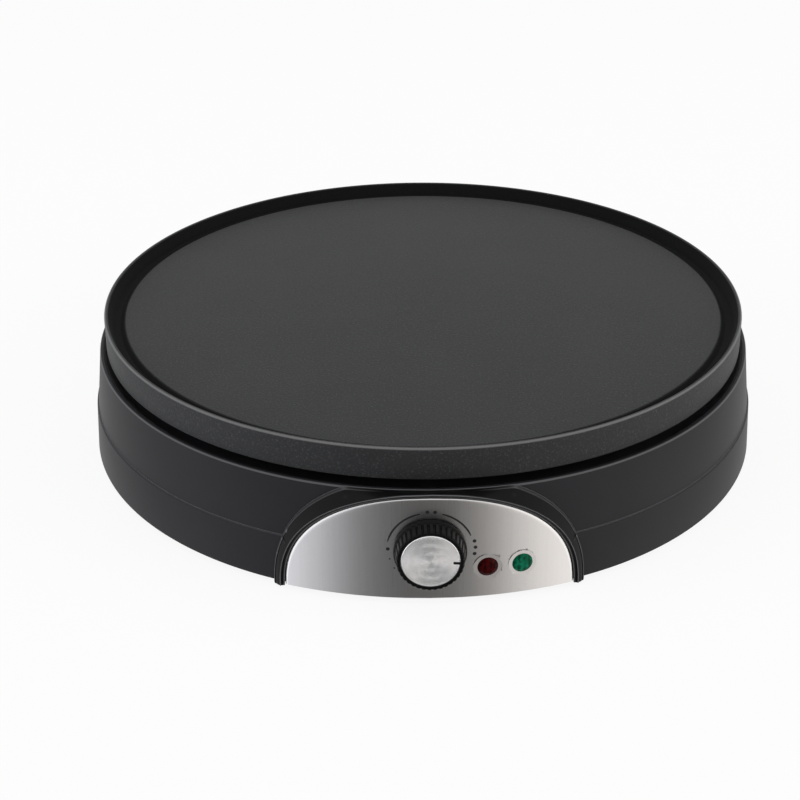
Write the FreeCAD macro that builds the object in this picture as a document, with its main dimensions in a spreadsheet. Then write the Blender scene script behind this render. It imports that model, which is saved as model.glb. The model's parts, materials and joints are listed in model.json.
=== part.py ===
import FreeCAD, Part
import math
import os
import re
import Sketcher

# Electric crepe maker: a cast round plate over a two-part round housing, with a steel control
# panel, a thermostat knob and two indicator lenses at the front.
# Millimetres, +Z up. The origin is on the housing's axis, at the undersides of the feet.
# The control panel and the knob face -Y.

# Driving dimensions
SIZES = {
    "foot_height": 3.0,
    "housing_bottom_radius": 168.5,
    "lower_draft": 1.1,
    "housing_draft": 4.8,
    "seam_step": 0.7,
    "lower_height": 23.3,
    "upper_height": 28.8,
    "wall": 2.4,
    "tongue_depth": 4.0,
    "tongue_gap": 0.3,
    "top_land": 1.8,
    "recess_depth": 5.1,
    "recess_width": 5.0,
    "recess_step": 3.0,
    "shelf_width": 42.3,
    "flange_width": 30.5,
    "rim_setback": 3.4,
    "rim_rise": 18.7,
    "rim_thickness": 1.9,
    "rim_slope": 2.3,
    "groove_width": 3.7,
    "groove_depth": 2.0,
    "disc_slope": 2.3,
    "tray_depth": 4.8,
    "plate_thickness": 6.5,
    "skirt_height": 15.6,
    "skirt_wall": 3.1,
    "outer_boss_inset": 25.3,
    "outer_boss_radius": 6.0,
    "inner_boss_inset": 17.0,
    "inner_boss_radius": 5.0,
    "screw_radius": 1.9,
    "screw_head_radius": 4.0,
    "screw_head_height": 2.4,
    "screw_play": 0.3,
    "thread_play": 0.05,
    "element_inset": 23.0,
    "element_radius": 3.25,
    "element_gap": 0.1,
    "element_open_angle": 40.0,
    "leg_below_reflector": 9.85,
    "leg_radius": 3.0,
    "clamp_length": 32.0,
    "clamp_width": 12.0,
    "clamp_thickness": 1.5,
    "reflector_sheet": 0.8,
    "reflector_depth": 4.0,
    "reflector_slope": 3.5,
    "reflector_flange": 6.0,
    "bushing_radius": 5.8,
    "bushing_play": 0.2,
    "cover_inset": 8.5,
    "cover_sheet": 1.2,
    "vent_length": 26.0,
    "vent_width": 3.2,
    "vent_circle": 70.0,
    "pillar_inset": 23.5,
    "pillar_radius": 5.0,
    "foot_inset": 18.5,
    "foot_radius": 8.5,
    "foot_stem_radius": 3.0,
    "panel_flatness": 6.5,
    "panel_proud": 1.0,
    "panel_half_width": 64.5,
    "panel_top_gap": 0.9,
    "panel_sheet": 0.8,
    "panel_play": 0.1,
    "bezel_proud": 1.0,
    "bezel_width": 5.4,
    "bezel_rise": 7.3,
    "bezel_drop": 1.0,
    "bezel_over_top": 1.1,
    "bezel_groove": 0.5,
    "bezel_ledge": 2.0,
    "web_overlap": 0.6,
    "web_thickness": 2.0,
    "window_play": 0.4,
    "knob_lift": 25.0,
    "knob_base_radius": 16.2,
    "knob_ring_radius": 14.7,
    "knob_front": 9.4,
    "knob_gap": 0.8,
    "knob_collar": 1.4,
    "knob_wall": 2.8,
    "insert_radius": 13.0,
    "insert_thickness": 0.7,
    "insert_play": 0.1,
    "notch_length": 3.0,
    "notch_width": 1.3,
    "spindle_radius": 3.0,
    "spindle_play": 0.05,
    "bush_radius": 4.5,
    "nut_height": 3.0,
    "nut_radius": 7.5,
    "bracket_half_width": 13.0,
    "bracket_half_height": 17.0,
    "bracket_sheet": 1.2,
    "bracket_leg": 31.0,
    "stack_setback": 29.0,
    "stack_radius": 5.0,
    "stack_screw_radius": 1.5,
    "ring_height": 5.4,
    "blade_thickness": 0.5,
    "blade_width": 6.0,
    "blade_reach": 12.0,
    "lens_lift": 15.4,
    "red_lens_offset": 25.5,
    "green_lens_offset": 41.2,
    "lens_radius": 4.9,
    "lens_flange": 1.3,
    "lens_proud": 1.4,
    "lens_wall": 1.5,
    "lamp_radius": 2.5,
    "lamp_length": 14.0,
    "gland_lift": 10.5,
    "gland_radius": 6.0,
    "gland_bore": 3.5,
    "gland_flange": 2.5,
    "gland_flange_height": 2.0,
    "gland_seat": 0.6,
    "gland_barb": 1.5,
    "gland_barb_height": 1.8,
    "gland_tail": 2.6,
    "gland_taper": 1.0,
    "terminal_inset": 50.5,
    "terminal_length": 34.0,
    "terminal_depth": 14.0,
    "terminal_height": 12.0,
    "terminal_pitch": 11.0,
    "terminal_screw_radius": 2.4,
    "terminal_screw_height": 1.5,
    "lug_width": 8.0,
    "lug_length": 18.0,
    "lug_sheet": 0.8,
    "lug_side": 28.0,
    "stud_radius": 2.5,
    "stud_height": 4.0,
    "wire_radius": 1.3,
    "wire_exit_z": 14.0,
    "wire_run_z": 12.0,
    "wire_run": 12.0,
    "live_side": 48.0,
    "neutral_side": 46.0,
    "bend_side": 40.0,
    "bend_rear": 60.0,
    "bend_front": 40.0,
    "fit_play": 0.1,
    "edge_break": 0.5,
    "through": 2.0,
    "pillar_thread": 18.0,
    "thread_relief": 2.0,
    "bushing_depth": 4.0,
    "bushing_collar": 2.0,
    "tab_width": 6.3,
    "tab_sheet": 0.8,
    "tab_length": 10.0,
    "clamp_inner_end": 6.0,
    "fuse_boss_distance": 46.0,
    "fuse_distance": 60.0,
    "fuse_length": 22.0,
    "fuse_lead_radius": 0.6,
    "fuse_lead_length": 6.0,
    "strap_width": 10.0,
    "strap_length": 28.0,
    "strap_sheet": 1.0,
    "dish_inset": 4.0,
    "dish_lap": 0.6,
    "window_floor": 0.2,
    "hub_gap": 0.5,
    "hub_wall": 3.0,
    "spindle_setback": 0.7,
    "insert_chamfer": 0.15,
    "clip_sheet": 0.55,
    "clip_end_gap": 0.2,
    "spindle_collar": 3.0,
    "spindle_step": 1.0,
    "spindle_depth": 15.0,
    "spindle_foot": 12.0,
    "spindle_shoulder": 9.5,
    "bracket_gap": 0.6,
    "bush_collar": 2.5,
    "bush_collar_height": 2.0,
    "lens_crown": 1.6,
    "lens_round": 0.6,
    "lens_seat_gap": 0.25,
    "lens_flange_back": 1.6,
    "lens_skin": 0.4,
    "lamp_gap": 1.0,
    "lamp_nose": 1.5,
    "lamp_taper": 1.2,
    "socket_wall": 1.0,
    "strip_setback": 16.0,
}

# Dimensions that follow from the driving ones
FOLLOWING = {
    "seam_z": "foot_height + lower_height",
    "housing_top_z": "seam_z + upper_height",
    "housing_seam_radius": "housing_bottom_radius - lower_draft",
    "housing_top_radius": "housing_bottom_radius - housing_draft",
    "upper_seam_radius": "housing_seam_radius - seam_step",
    "flange_inner_radius": "housing_bottom_radius - flange_width",
    "cover_radius": "housing_bottom_radius - cover_inset",
    "pillar_circle": "housing_bottom_radius - pillar_inset",
    "foot_circle": "housing_bottom_radius - foot_inset",
    "terminal_radius": "housing_bottom_radius - terminal_inset",
    "rim_radius": "housing_top_radius - rim_setback",
    "rim_height": "housing_top_z + rim_rise",
    "shelf_inner_radius": "rim_radius - shelf_width",
    "outer_boss_circle": "rim_radius - outer_boss_inset",
    "element_circle": "shelf_inner_radius - element_inset",
    "inner_boss_circle": "element_circle - inner_boss_inset",
    "shelf_top_z": "housing_top_z - recess_depth",
    "shelf_under_z": "shelf_top_z - wall",
    "flange_top_z": "foot_height + wall",
    "cover_top_z": "flange_top_z + cover_sheet",
    "disc_top_z": "rim_height - tray_depth",
    "groove_z": "disc_top_z - groove_depth",
    "plate_under_z": "disc_top_z - plate_thickness",
    "skirt_bottom_z": "rim_height - skirt_height",
    "rim_inner_radius": "rim_radius - rim_thickness",
    "groove_outer_radius": "rim_inner_radius - rim_slope",
    "groove_inner_radius": "groove_outer_radius - groove_width",
    "disc_radius": "groove_inner_radius - disc_slope",
    "element_z": "plate_under_z - element_gap - element_radius",
    "clamp_top_z": "element_z - element_radius - element_gap",
    "reflector_floor_z": "shelf_top_z - reflector_depth",
    "leg_bottom_z": "reflector_floor_z - leg_below_reflector",
    "reflector_radius": "shelf_inner_radius + reflector_flange",
    "dish_radius": "shelf_inner_radius - dish_inset",
    "pillar_hole_z": "cover_top_z + pillar_thread",
    "panel_front": "housing_bottom_radius + panel_proud",
    "panel_curve_radius": "housing_bottom_radius + panel_flatness",
    "panel_curve_offset": "panel_curve_radius - panel_front",
    "panel_top_z": "housing_top_z - panel_top_gap",
    "panel_arch_height": "panel_top_z - foot_height",
    "knob_z": "foot_height + knob_lift",
    "lens_z": "foot_height + lens_lift",
    "web_front": "0 - panel_sheet - panel_play",
    "web_back": "web_front - web_thickness",
    "lens_seat": "web_back - lens_seat_gap",
    "lens_back": "web_back - lens_flange_back",
    "insert_seat": "knob_front - insert_thickness - insert_play",
    "cavity_top": "insert_seat - knob_wall",
    "hub_bottom": "panel_play + nut_height + hub_gap",
    "spindle_tip": "insert_seat - spindle_setback",
    "bracket_front": "web_back - bracket_gap",
    "bracket_back": "bracket_front - bracket_sheet",
    "gland_z": "foot_height + gland_lift",
    "gland_wall_radius": "housing_bottom_radius - gland_lift"
                         " * (housing_bottom_radius - housing_seam_radius) / lower_height",
    "gland_length": "panel_front + knob_front - gland_wall_radius",
    "gland_back": "0 - wall - gland_tail",
}

NAMES = set(SIZES) | set(FOLLOWING)
WORD = re.compile(r"[a-z][a-z_]+")

TOWARDS_FRONT = FreeCAD.Rotation(FreeCAD.Vector(1, 0, 0), 90)
TOWARDS_REAR = FreeCAD.Rotation(FreeCAD.Vector(1, 0, 0), -90)
UPRIGHT = FreeCAD.Rotation()

doc = FreeCAD.newDocument("crepe_maker")
sheet = doc.addObject("Spreadsheet::Sheet", "dims")


def cell_of(word):
    name = word.group(0)
    return "dims." + name if name in NAMES else name


def with_cells(text):
    """An expression with each dimension's name written as a cell of the sheet."""
    return WORD.sub(cell_of, str(text))


def fill_sheet():
    entries = [(alias, str(size)) for alias, size in SIZES.items()]
    entries += [(alias, "=" + formula) for alias, formula in FOLLOWING.items()]
    for row, (alias, content) in enumerate(entries, start=1):
        sheet.set(f"A{row}", alias)
        sheet.set(f"B{row}", content)
        sheet.setAlias(f"B{row}", alias)
    doc.recompute()


def value(text):
    """What an expression of the dimensions comes to now."""
    result = probe.evalExpression(with_cells(text))
    return float(getattr(result, "Value", result))


# Building blocks

def bind(obj, prop, text):
    obj.setExpression(prop, with_cells(text))


def place(obj, x=0, y=0, z=0, turn=UPRIGHT):
    obj.Placement = FreeCAD.Placement(FreeCAD.Vector(), turn)
    for axis, text in (("x", x), ("y", y), ("z", z)):
        bind(obj, "Placement.Base." + axis, text)
    return obj


def rod(name, radius, length, x=0, y=0, z=0, turn=UPRIGHT):
    """A cylinder that starts at a point and runs along its own Z."""
    part = doc.addObject("Part::Cylinder", name)
    bind(part, "Radius", radius)
    bind(part, "Height", length)
    return place(part, x, y, z, turn)


def block(name, size, x=0, y=0, z=0, turn=UPRIGHT):
    """A box from its lowest corner, with its size given along X, Y and Z."""
    part = doc.addObject("Part::Box", name)
    for prop, text in zip(("Length", "Width", "Height"), size):
        bind(part, prop, text)
    return place(part, x, y, z, turn)


def fused(name, parts):
    part = doc.addObject("Part::MultiFuse", name)
    part.Shapes = parts
    return part


def group(name, parts):
    """Separate solids kept together in one node."""
    part = doc.addObject("Part::Compound", name)
    part.Links = parts
    return part


def cut(name, base, tools):
    part = doc.addObject("Part::Cut", name)
    part.Base = base
    part.Tool = tools[0] if len(tools) == 1 else fused(name + "_tools", tools)
    return part


def common(name, first, second):
    part = doc.addObject("Part::Common", name)
    part.Base = first
    part.Tool = second
    return part


def plane_of(body, role):
    return [plane for plane in body.Origin.OriginFeatures if plane.Role == role][0]


def new_sketch(body, name, role):
    sketch = body.newObject("Sketcher::SketchObject", name)
    sketch.AttachmentSupport = (plane_of(body, role), [""])
    sketch.MapMode = "FlatFace"
    return sketch


def draw_outline(sketch, corners):
    """A closed outline of straight lines, each corner tied to the sheet from the origin."""
    points = [FreeCAD.Vector(value(across), value(along), 0) for across, along in corners]
    count = len(points)
    for index in range(count):
        sketch.addGeometry(Part.LineSegment(points[index], points[(index + 1) % count]), False)
    for index in range(count):
        sketch.addConstraint(Sketcher.Constraint("Coincident", index, 2, (index + 1) % count, 1))
    for index, (across, along) in enumerate(corners):
        for kind, text in (("DistanceX", across), ("DistanceY", along)):
            number = sketch.addConstraint(Sketcher.Constraint(kind, -1, 1, index, 1, value(text)))
            sketch.setExpression(f"Constraints[{number}]", with_cells(text))


def turned(name, corners):
    """A body of revolution about its own Z, from corners of (radius, height)."""
    body = doc.addObject("PartDesign::Body", name)
    sketch = new_sketch(body, name + "_outline", "XZ_Plane")
    draw_outline(sketch, corners)
    revolution = body.newObject("PartDesign::Revolution", name + "_turn")
    revolution.Profile = sketch
    revolution.ReferenceAxis = (sketch, ["V_Axis"])
    revolution.Angle = 360
    return body


def polar(circle, angle):
    """X and Y expressions of a point on a circle about the housing's axis."""
    return f"{circle} * cos({angle} deg)", f"{circle} * sin({angle} deg)"


def screw(name, x, y, seat, length, turn=UPRIGHT, radius="screw_radius"):
    """A pan-head screw: the head is below its seat and the shank runs up from it."""
    head = "screw_head_height"
    part = turned(name, [
        (0, f"0 - {head}"), ("screw_head_radius - 0.6", f"0 - {head}"),
        ("screw_head_radius", f"0.6 - {head}"), ("screw_head_radius", 0),
        (radius, 0), (radius, length), (0, length)])
    return place(part, x, y, seat, turn)


# Panel frame: local Z runs out of the steel panel towards the user, and its zero is the panel's face

def on_panel(part, lift="knob_z", depth=0):
    return place(part, 0, f"0 - panel_front - ({depth})", lift, TOWARDS_FRONT)


def lens_frame(part, offset, depth=0):
    """Stand a piece on the curved panel, square to it, a stated distance along the curve."""
    angle = f"({offset}) / panel_curve_radius * 1 rad"
    reach = f"(panel_curve_radius + ({depth}))"
    degrees = value(offset) / value("panel_curve_radius") * 57.29578
    turn = FreeCAD.Rotation(FreeCAD.Vector(0, 0, 1), degrees) * TOWARDS_FRONT
    across = f"{reach} * sin({angle})"
    return place(part, across, f"panel_curve_offset - {reach} * cos({angle})", "lens_z", turn)


ARCH_POWER = 2.2
ARCH_POINTS = 24
SLAB_AHEAD = 30.5
SLAB_DEPTH = 60.0


def arch_slab(name, half_width, top, base="foot_height", below=0):
    """An arch-shaped slab seen from the front: a superellipse on legs that run below its base."""
    front = -value("panel_front") - SLAB_AHEAD
    wide = value(half_width)
    foot = value(base)
    tall = value(top) - foot
    heel = foot - value(below)
    points = []
    for step in range(-ARCH_POINTS, ARCH_POINTS + 1):
        lean = step / ARCH_POINTS
        across = wide * (1 if lean > 0 else -1) * (1 - (1 - abs(lean)) ** ARCH_POWER) ** (1 / ARCH_POWER)
        up = tall * max(0, 1 - abs(across / wide) ** ARCH_POWER) ** (1 / ARCH_POWER)
        points.append(FreeCAD.Vector(across, front, foot + up))
    curve = Part.BSplineCurve()
    curve.interpolate(points)
    edges = [curve.toShape()]
    corners = [points[-1], points[0]]
    if foot > heel:
        right = FreeCAD.Vector(wide, front, heel)
        left = FreeCAD.Vector(-wide, front, heel)
        corners = [points[-1], right, left, points[0]]
    edges += [Part.makeLine(start, finish) for start, finish in zip(corners, corners[1:])]
    wire = Part.Wire(edges)
    slab = doc.addObject("Part::Feature", name)
    slab.Shape = Part.Face(wire).extrude(FreeCAD.Vector(0, SLAB_DEPTH, 0))
    return slab


def panel_drum(name, inset):
    """The cylinder that the curved panel follows, smaller by an inset."""
    return rod(name, f"panel_curve_radius - ({inset})", "rim_height + 20", 0, "panel_curve_offset", -10)


# The cooking plate and what is fastened to its underside

OUTER_BOSS_ANGLES = (0, 90, 180, 270)
CLAMP_ANGLES = (0, 90, 180)
FUSE_BOSS_Y = "0 - fuse_boss_distance"
FUSE_Y = "0 - fuse_distance"


def cooking_plate():
    casting = turned("plate_casting", [
        (0, "disc_top_z"), ("disc_radius", "disc_top_z"),
        ("groove_inner_radius", "groove_z"), ("groove_outer_radius", "groove_z"),
        ("rim_inner_radius", "rim_height - 0.4"), ("rim_inner_radius + 0.4", "rim_height"),
        ("rim_radius - 0.6", "rim_height"), ("rim_radius", "rim_height - 0.6"),
        ("rim_radius", "skirt_bottom_z"), ("rim_radius - skirt_wall", "skirt_bottom_z"),
        ("rim_radius - skirt_wall", "plate_under_z"), (0, "plate_under_z")])
    bosses = []
    holes = []
    for angle in OUTER_BOSS_ANGLES:
        x, y = polar("outer_boss_circle", angle)
        bosses.append(rod(f"outer_boss_{angle}", "outer_boss_radius", "plate_under_z - shelf_top_z + 1",
                          x, y, "shelf_top_z"))
        holes.append(rod(f"outer_boss_hole_{angle}", "screw_radius + thread_play",
                         "plate_under_z - shelf_top_z", x, y, "shelf_top_z - 1"))
    spots = [polar("inner_boss_circle", angle) for angle in CLAMP_ANGLES] + [("0", FUSE_BOSS_Y)]
    for index, (x, y) in enumerate(spots):
        bosses.append(rod(f"inner_boss_{index}", "inner_boss_radius", "plate_under_z - clamp_top_z + 1",
                          x, y, "clamp_top_z"))
        holes.append(rod(f"inner_boss_hole_{index}", "screw_radius + thread_play",
                         "plate_under_z - clamp_top_z + 1", x, y, "clamp_top_z - 1"))
    return cut("cooking_plate", fused("plate_with_bosses", [casting] + bosses), holes)


def leg_place(side):
    """Where a leg leaves the ring: a little inside the end of the ring's arc."""
    angle = f"(270 + {side} * (element_open_angle / 2 + 3))"
    return f"element_circle * cos({angle} * 1 deg)", f"element_circle * sin({angle} * 1 deg)"


def heating_element():
    ring = doc.addObject("Part::Torus", "element_ring")
    bind(ring, "Radius1", "element_circle")
    bind(ring, "Radius2", "element_radius")
    bind(ring, "Angle3", "360 - element_open_angle")
    start = value("element_open_angle") / 2 - 90
    place(ring, 0, 0, "element_z", FreeCAD.Rotation(FreeCAD.Vector(0, 0, 1), start))
    pieces = [ring]
    for side in (-1, 1):
        x, y = leg_place(side)
        pieces.append(rod(f"element_leg_{side + 1}", "leg_radius", "element_z - leg_bottom_z",
                          x, y, "leg_bottom_z"))
    return fused("heating_element", pieces)


def element_bushings():
    rings = []
    for side in (-1, 1):
        x, y = leg_place(side)
        ring = turned(f"bushing_{side + 1}", [
            ("leg_radius + fit_play", "0 - bushing_depth"), ("bushing_radius", "0 - bushing_depth"),
            ("bushing_radius", "reflector_sheet + fit_play"),
            ("bushing_radius + bushing_collar", "reflector_sheet + fit_play"),
            ("bushing_radius + bushing_collar", "reflector_sheet + bushing_collar"),
            ("leg_radius + fit_play", "reflector_sheet + bushing_collar")])
        rings.append(place(ring, x, y, "reflector_floor_z"))
    return group("element_bushings", rings)


def element_terminals():
    tabs = []
    for side in (-1, 1):
        x, y = leg_place(side)
        tabs.append(block(f"element_tab_{side + 1}", ("tab_width", "tab_sheet", "tab_length"),
                          f"{x} - tab_width / 2", f"{y} - tab_sheet / 2", "leg_bottom_z - tab_length"))
    return group("element_terminals", tabs)


def element_clamps():
    clamps = []
    for angle in CLAMP_ANGLES:
        turn = FreeCAD.Rotation(FreeCAD.Vector(0, 0, 1), angle)
        start = "(inner_boss_circle - clamp_inner_end)"
        x = f"{start} * cos({angle} deg) + clamp_width / 2 * sin({angle} deg)"
        y = f"{start} * sin({angle} deg) - clamp_width / 2 * cos({angle} deg)"
        strap = block(f"clamp_strap_{angle}", ("clamp_length", "clamp_width", "clamp_thickness"),
                      x, y, "clamp_top_z - clamp_thickness", turn)
        hole_x, hole_y = polar("inner_boss_circle", angle)
        hole = rod(f"clamp_hole_{angle}", "screw_radius + screw_play", "clamp_thickness + 2",
                   hole_x, hole_y, "clamp_top_z - clamp_thickness - 1")
        clamps.append(cut(f"clamp_{angle}", strap, [hole]))
    return group("element_clamps", clamps)


def clamp_screws():
    screws = []
    for angle in CLAMP_ANGLES:
        x, y = polar("inner_boss_circle", angle)
        screws.append(screw(f"clamp_screw_{angle}", x, y, "clamp_top_z - clamp_thickness",
                            "clamp_thickness + plate_under_z - clamp_top_z - 0.5"))
    return group("clamp_screws", screws)


def thermal_fuse():
    across = FreeCAD.Rotation(FreeCAD.Vector(0, 1, 0), 90)
    middle = "(plate_under_z + clamp_top_z) / 2"
    body = rod("fuse_body", "(plate_under_z - clamp_top_z) / 2 - fit_play", "fuse_length",
               "0 - fuse_length / 2", FUSE_Y, middle, across)
    overlap = "edge_break"
    starts = ("0 - fuse_length / 2 - fuse_lead_length", f"fuse_length / 2 - {overlap}")
    leads = []
    for side, start in enumerate(starts):
        leads.append(rod(f"fuse_lead_{side}", "fuse_lead_radius", f"fuse_lead_length + {overlap}",
                         start, FUSE_Y, middle, across))
    return fused("thermal_fuse", [body] + leads)


def fuse_clip():
    rear = "fuse_boss_distance - strap_length / 4"
    strap = block("fuse_strap", ("strap_width", "strap_length", "strap_sheet"),
                  "0 - strap_width / 2", f"0 - strap_length - ({rear})", "clamp_top_z - strap_sheet")
    hole = rod("fuse_strap_hole", "screw_radius + screw_play", "strap_sheet + through", 0, FUSE_BOSS_Y,
               "clamp_top_z - strap_sheet - through / 2")
    return cut("fuse_clip", strap, [hole])


def fuse_screw():
    return screw("fuse_screw", 0, FUSE_BOSS_Y, "clamp_top_z - strap_sheet",
                 "strap_sheet + plate_under_z - clamp_top_z - edge_break")


def heat_reflector():
    dish = turned("reflector_dish", [
        (0, "reflector_floor_z"),
        ("dish_radius - reflector_slope", "reflector_floor_z"),
        ("dish_radius", "shelf_top_z"),
        ("reflector_radius", "shelf_top_z"),
        ("reflector_radius", "shelf_top_z + reflector_sheet"),
        ("dish_radius - dish_lap", "shelf_top_z + reflector_sheet"),
        ("dish_radius - dish_lap - reflector_slope", "reflector_floor_z + reflector_sheet"),
        (0, "reflector_floor_z + reflector_sheet")])
    holes = []
    for side in (-1, 1):
        x, y = leg_place(side)
        holes.append(rod(f"reflector_hole_{side + 1}", "bushing_radius + bushing_play",
                         "reflector_sheet + 2 * through", x, y, "reflector_floor_z - through"))
    return cut("heat_reflector", dish, holes)


def plate_screws():
    screws = []
    for angle in OUTER_BOSS_ANGLES:
        x, y = polar("outer_boss_circle", angle)
        screws.append(screw(f"plate_screw_{angle}", x, y, "shelf_under_z",
                            "wall + plate_under_z - shelf_top_z - 2"))
    return group("plate_screws", screws)


# The housing, the cover under it and the feet

PILLAR_ANGLES = (30, 150, 210, 330)
FOOT_ANGLES = (45, 135, 225, 315)


def shell_window(name):
    """The opening behind the control panel, through the front wall."""
    slab = arch_slab(name + "_slab", "panel_half_width - bezel_ledge + web_overlap + window_play",
                     "panel_top_z - bezel_ledge + web_overlap + window_play", "flange_top_z + 0.2")
    inside = rod(name + "_inside", "housing_top_radius - recess_width", "rim_height")
    return cut(name, slab, [inside])


def upper_housing():
    shell = turned("upper_shell", [
        ("housing_seam_radius - wall - tongue_gap", "seam_z - tongue_depth"),
        ("housing_seam_radius - wall - tongue_gap", "seam_z"),
        ("upper_seam_radius", "seam_z"),
        ("housing_top_radius", "housing_top_z - edge_break"),
        ("housing_top_radius - edge_break", "housing_top_z"),
        ("housing_top_radius - top_land", "housing_top_z"),
        ("housing_top_radius - recess_width", "housing_top_z - recess_step"),
        ("rim_radius - skirt_wall - edge_break", "shelf_top_z"),
        ("shelf_inner_radius", "shelf_top_z"),
        ("shelf_inner_radius", "shelf_under_z"),
        ("housing_top_radius - wall + window_floor", "shelf_under_z"),
        ("upper_seam_radius - 2 * wall", "seam_z - tongue_depth")])
    pillars = []
    holes = [shell_window("upper_window")]
    for angle in PILLAR_ANGLES:
        x, y = polar("pillar_circle", angle)
        pillars.append(rod(f"pillar_{angle}", "pillar_radius", "shelf_under_z - cover_top_z + 0.5", x, y,
                           "cover_top_z"))
        holes.append(rod(f"pillar_hole_{angle}", "screw_radius + thread_play",
                         "pillar_hole_z - cover_top_z + 1", x, y, "cover_top_z - 1"))
    for angle in OUTER_BOSS_ANGLES:
        x, y = polar("outer_boss_circle", angle)
        holes.append(rod(f"shelf_hole_{angle}", "screw_radius + screw_play", "wall + 2", x, y,
                         "shelf_under_z - 1"))
    return cut("upper_housing", fused("upper_shell_pillars", [shell] + pillars), holes)


def lower_housing():
    shell = turned("lower_shell", [
        ("flange_inner_radius", "foot_height"),
        ("housing_bottom_radius", "foot_height"),
        ("housing_seam_radius", "seam_z - 0.4"),
        ("housing_seam_radius - 0.4", "seam_z"),
        ("housing_seam_radius - wall", "seam_z"),
        ("housing_bottom_radius - wall", "flange_top_z"),
        ("flange_inner_radius", "flange_top_z")])
    holes = [shell_window("lower_window")]
    for angle in PILLAR_ANGLES:
        x, y = polar("pillar_circle", angle)
        holes.append(rod(f"flange_hole_{angle}", "screw_radius + screw_play", "wall + through",
                         x, y, "foot_height - through / 2"))
    for angle in FOOT_ANGLES:
        x, y = polar("foot_circle", angle)
        holes.append(rod(f"foot_hole_{angle}", "foot_stem_radius + fit_play", "wall + through",
                         x, y, "foot_height - through / 2"))
    holes.append(rod("gland_hole", "gland_radius + fit_play", "wall + 5 * through",
                     0, "gland_back + gland_wall_radius - gland_seat", "gland_z", TOWARDS_REAR))
    return cut("lower_housing", shell, holes)


def base_cover():
    body = doc.addObject("PartDesign::Body", "cover_sheet_body")
    outline = new_sketch(body, "cover_outline", "XY_Plane")
    outline.addGeometry(Part.Circle(FreeCAD.Vector(), FreeCAD.Vector(0, 0, 1), value("cover_radius")), False)
    outline.addConstraint(Sketcher.Constraint("Coincident", 0, 3, -1, 1))
    size = outline.addConstraint(Sketcher.Constraint("Radius", 0, value("cover_radius")))
    outline.setExpression(f"Constraints[{size}]", with_cells("cover_radius"))
    pad = body.newObject("PartDesign::Pad", "cover_pad")
    pad.Profile = outline
    bind(pad, "Length", "cover_sheet")
    doc.recompute()
    slot = new_sketch(body, "vent_outline", "XY_Plane")
    draw_outline(slot, [
        ("vent_circle", "0 - vent_width / 2"), ("vent_circle + vent_length", "0 - vent_width / 2"),
        ("vent_circle + vent_length", "vent_width / 2"), ("vent_circle", "vent_width / 2")])
    vent = body.newObject("PartDesign::Pocket", "vent")
    vent.Profile = slot
    vent.Type = "ThroughAll"
    vent.Midplane = True
    doc.recompute()
    vents = body.newObject("PartDesign::PolarPattern", "vents")
    vents.Originals = [vent]
    vents.Axis = (slot, ["N_Axis"])
    vents.Angle = 360
    vents.Occurrences = 24
    body.Tip = vents
    place(body, 0, 0, "flange_top_z")
    holes = []
    for angle in PILLAR_ANGLES:
        x, y = polar("pillar_circle", angle)
        holes.append(rod(f"cover_hole_{angle}", "screw_radius + screw_play", 4, x, y, "flange_top_z - 1"))
    return cut("base_cover", body, holes)


def base_screws():
    screws = []
    for angle in PILLAR_ANGLES:
        x, y = polar("pillar_circle", angle)
        screws.append(screw(f"base_screw_{angle}", x, y, "foot_height", "pillar_hole_z - foot_height - 2"))
    return group("base_screws", screws)


def rubber_feet():
    feet = []
    for angle in FOOT_ANGLES:
        x, y = polar("foot_circle", angle)
        foot = turned(f"foot_{angle}", [
            (0, 0), ("foot_radius - 1", 0), ("foot_radius", 1), ("foot_radius", "foot_height"),
            ("foot_stem_radius", "foot_height"), ("foot_stem_radius", "flange_top_z - 0.1"),
            (0, "flange_top_z - 0.1")])
        feet.append(place(foot, x, y, 0))
    return group("rubber_feet", feet)


# The control panel

HOLE_START = "0 - 8"
HOLE_LENGTH = 16


def panel_holes(name, extra):
    """The holes that the bush and the two lenses pass through, with extra room on each radius."""
    holes = [on_panel(rod(name + "_bush", f"bush_radius + {extra}", HOLE_LENGTH), depth=HOLE_START)]
    for side, offset in (("red", "red_lens_offset"), ("green", "green_lens_offset")):
        hole = rod(f"{name}_{side}", f"lens_radius + {extra}", HOLE_LENGTH)
        holes.append(lens_frame(hole, offset, HOLE_START))
    return holes


def fascia_panel():
    slab = arch_slab("fascia_slab", "panel_half_width", "panel_top_z")
    outer = common("fascia_front", slab, panel_drum("fascia_drum", 0))
    sheet_back = panel_drum("fascia_back", "panel_sheet")
    return cut("fascia_panel", outer, [sheet_back] + panel_holes("fascia_hole", 0.1))


def housing_envelope():
    """The outside of both housing shells with the panel's play added."""
    return turned("housing_envelope", [
        (0, 0), ("housing_bottom_radius + panel_play + 0.1", 0),
        ("housing_seam_radius + panel_play", "seam_z"),
        ("upper_seam_radius + panel_play", "seam_z"),
        ("housing_top_radius + panel_play", "housing_top_z"),
        ("housing_top_radius + panel_play", "rim_height"), (0, "rim_height")])


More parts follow.
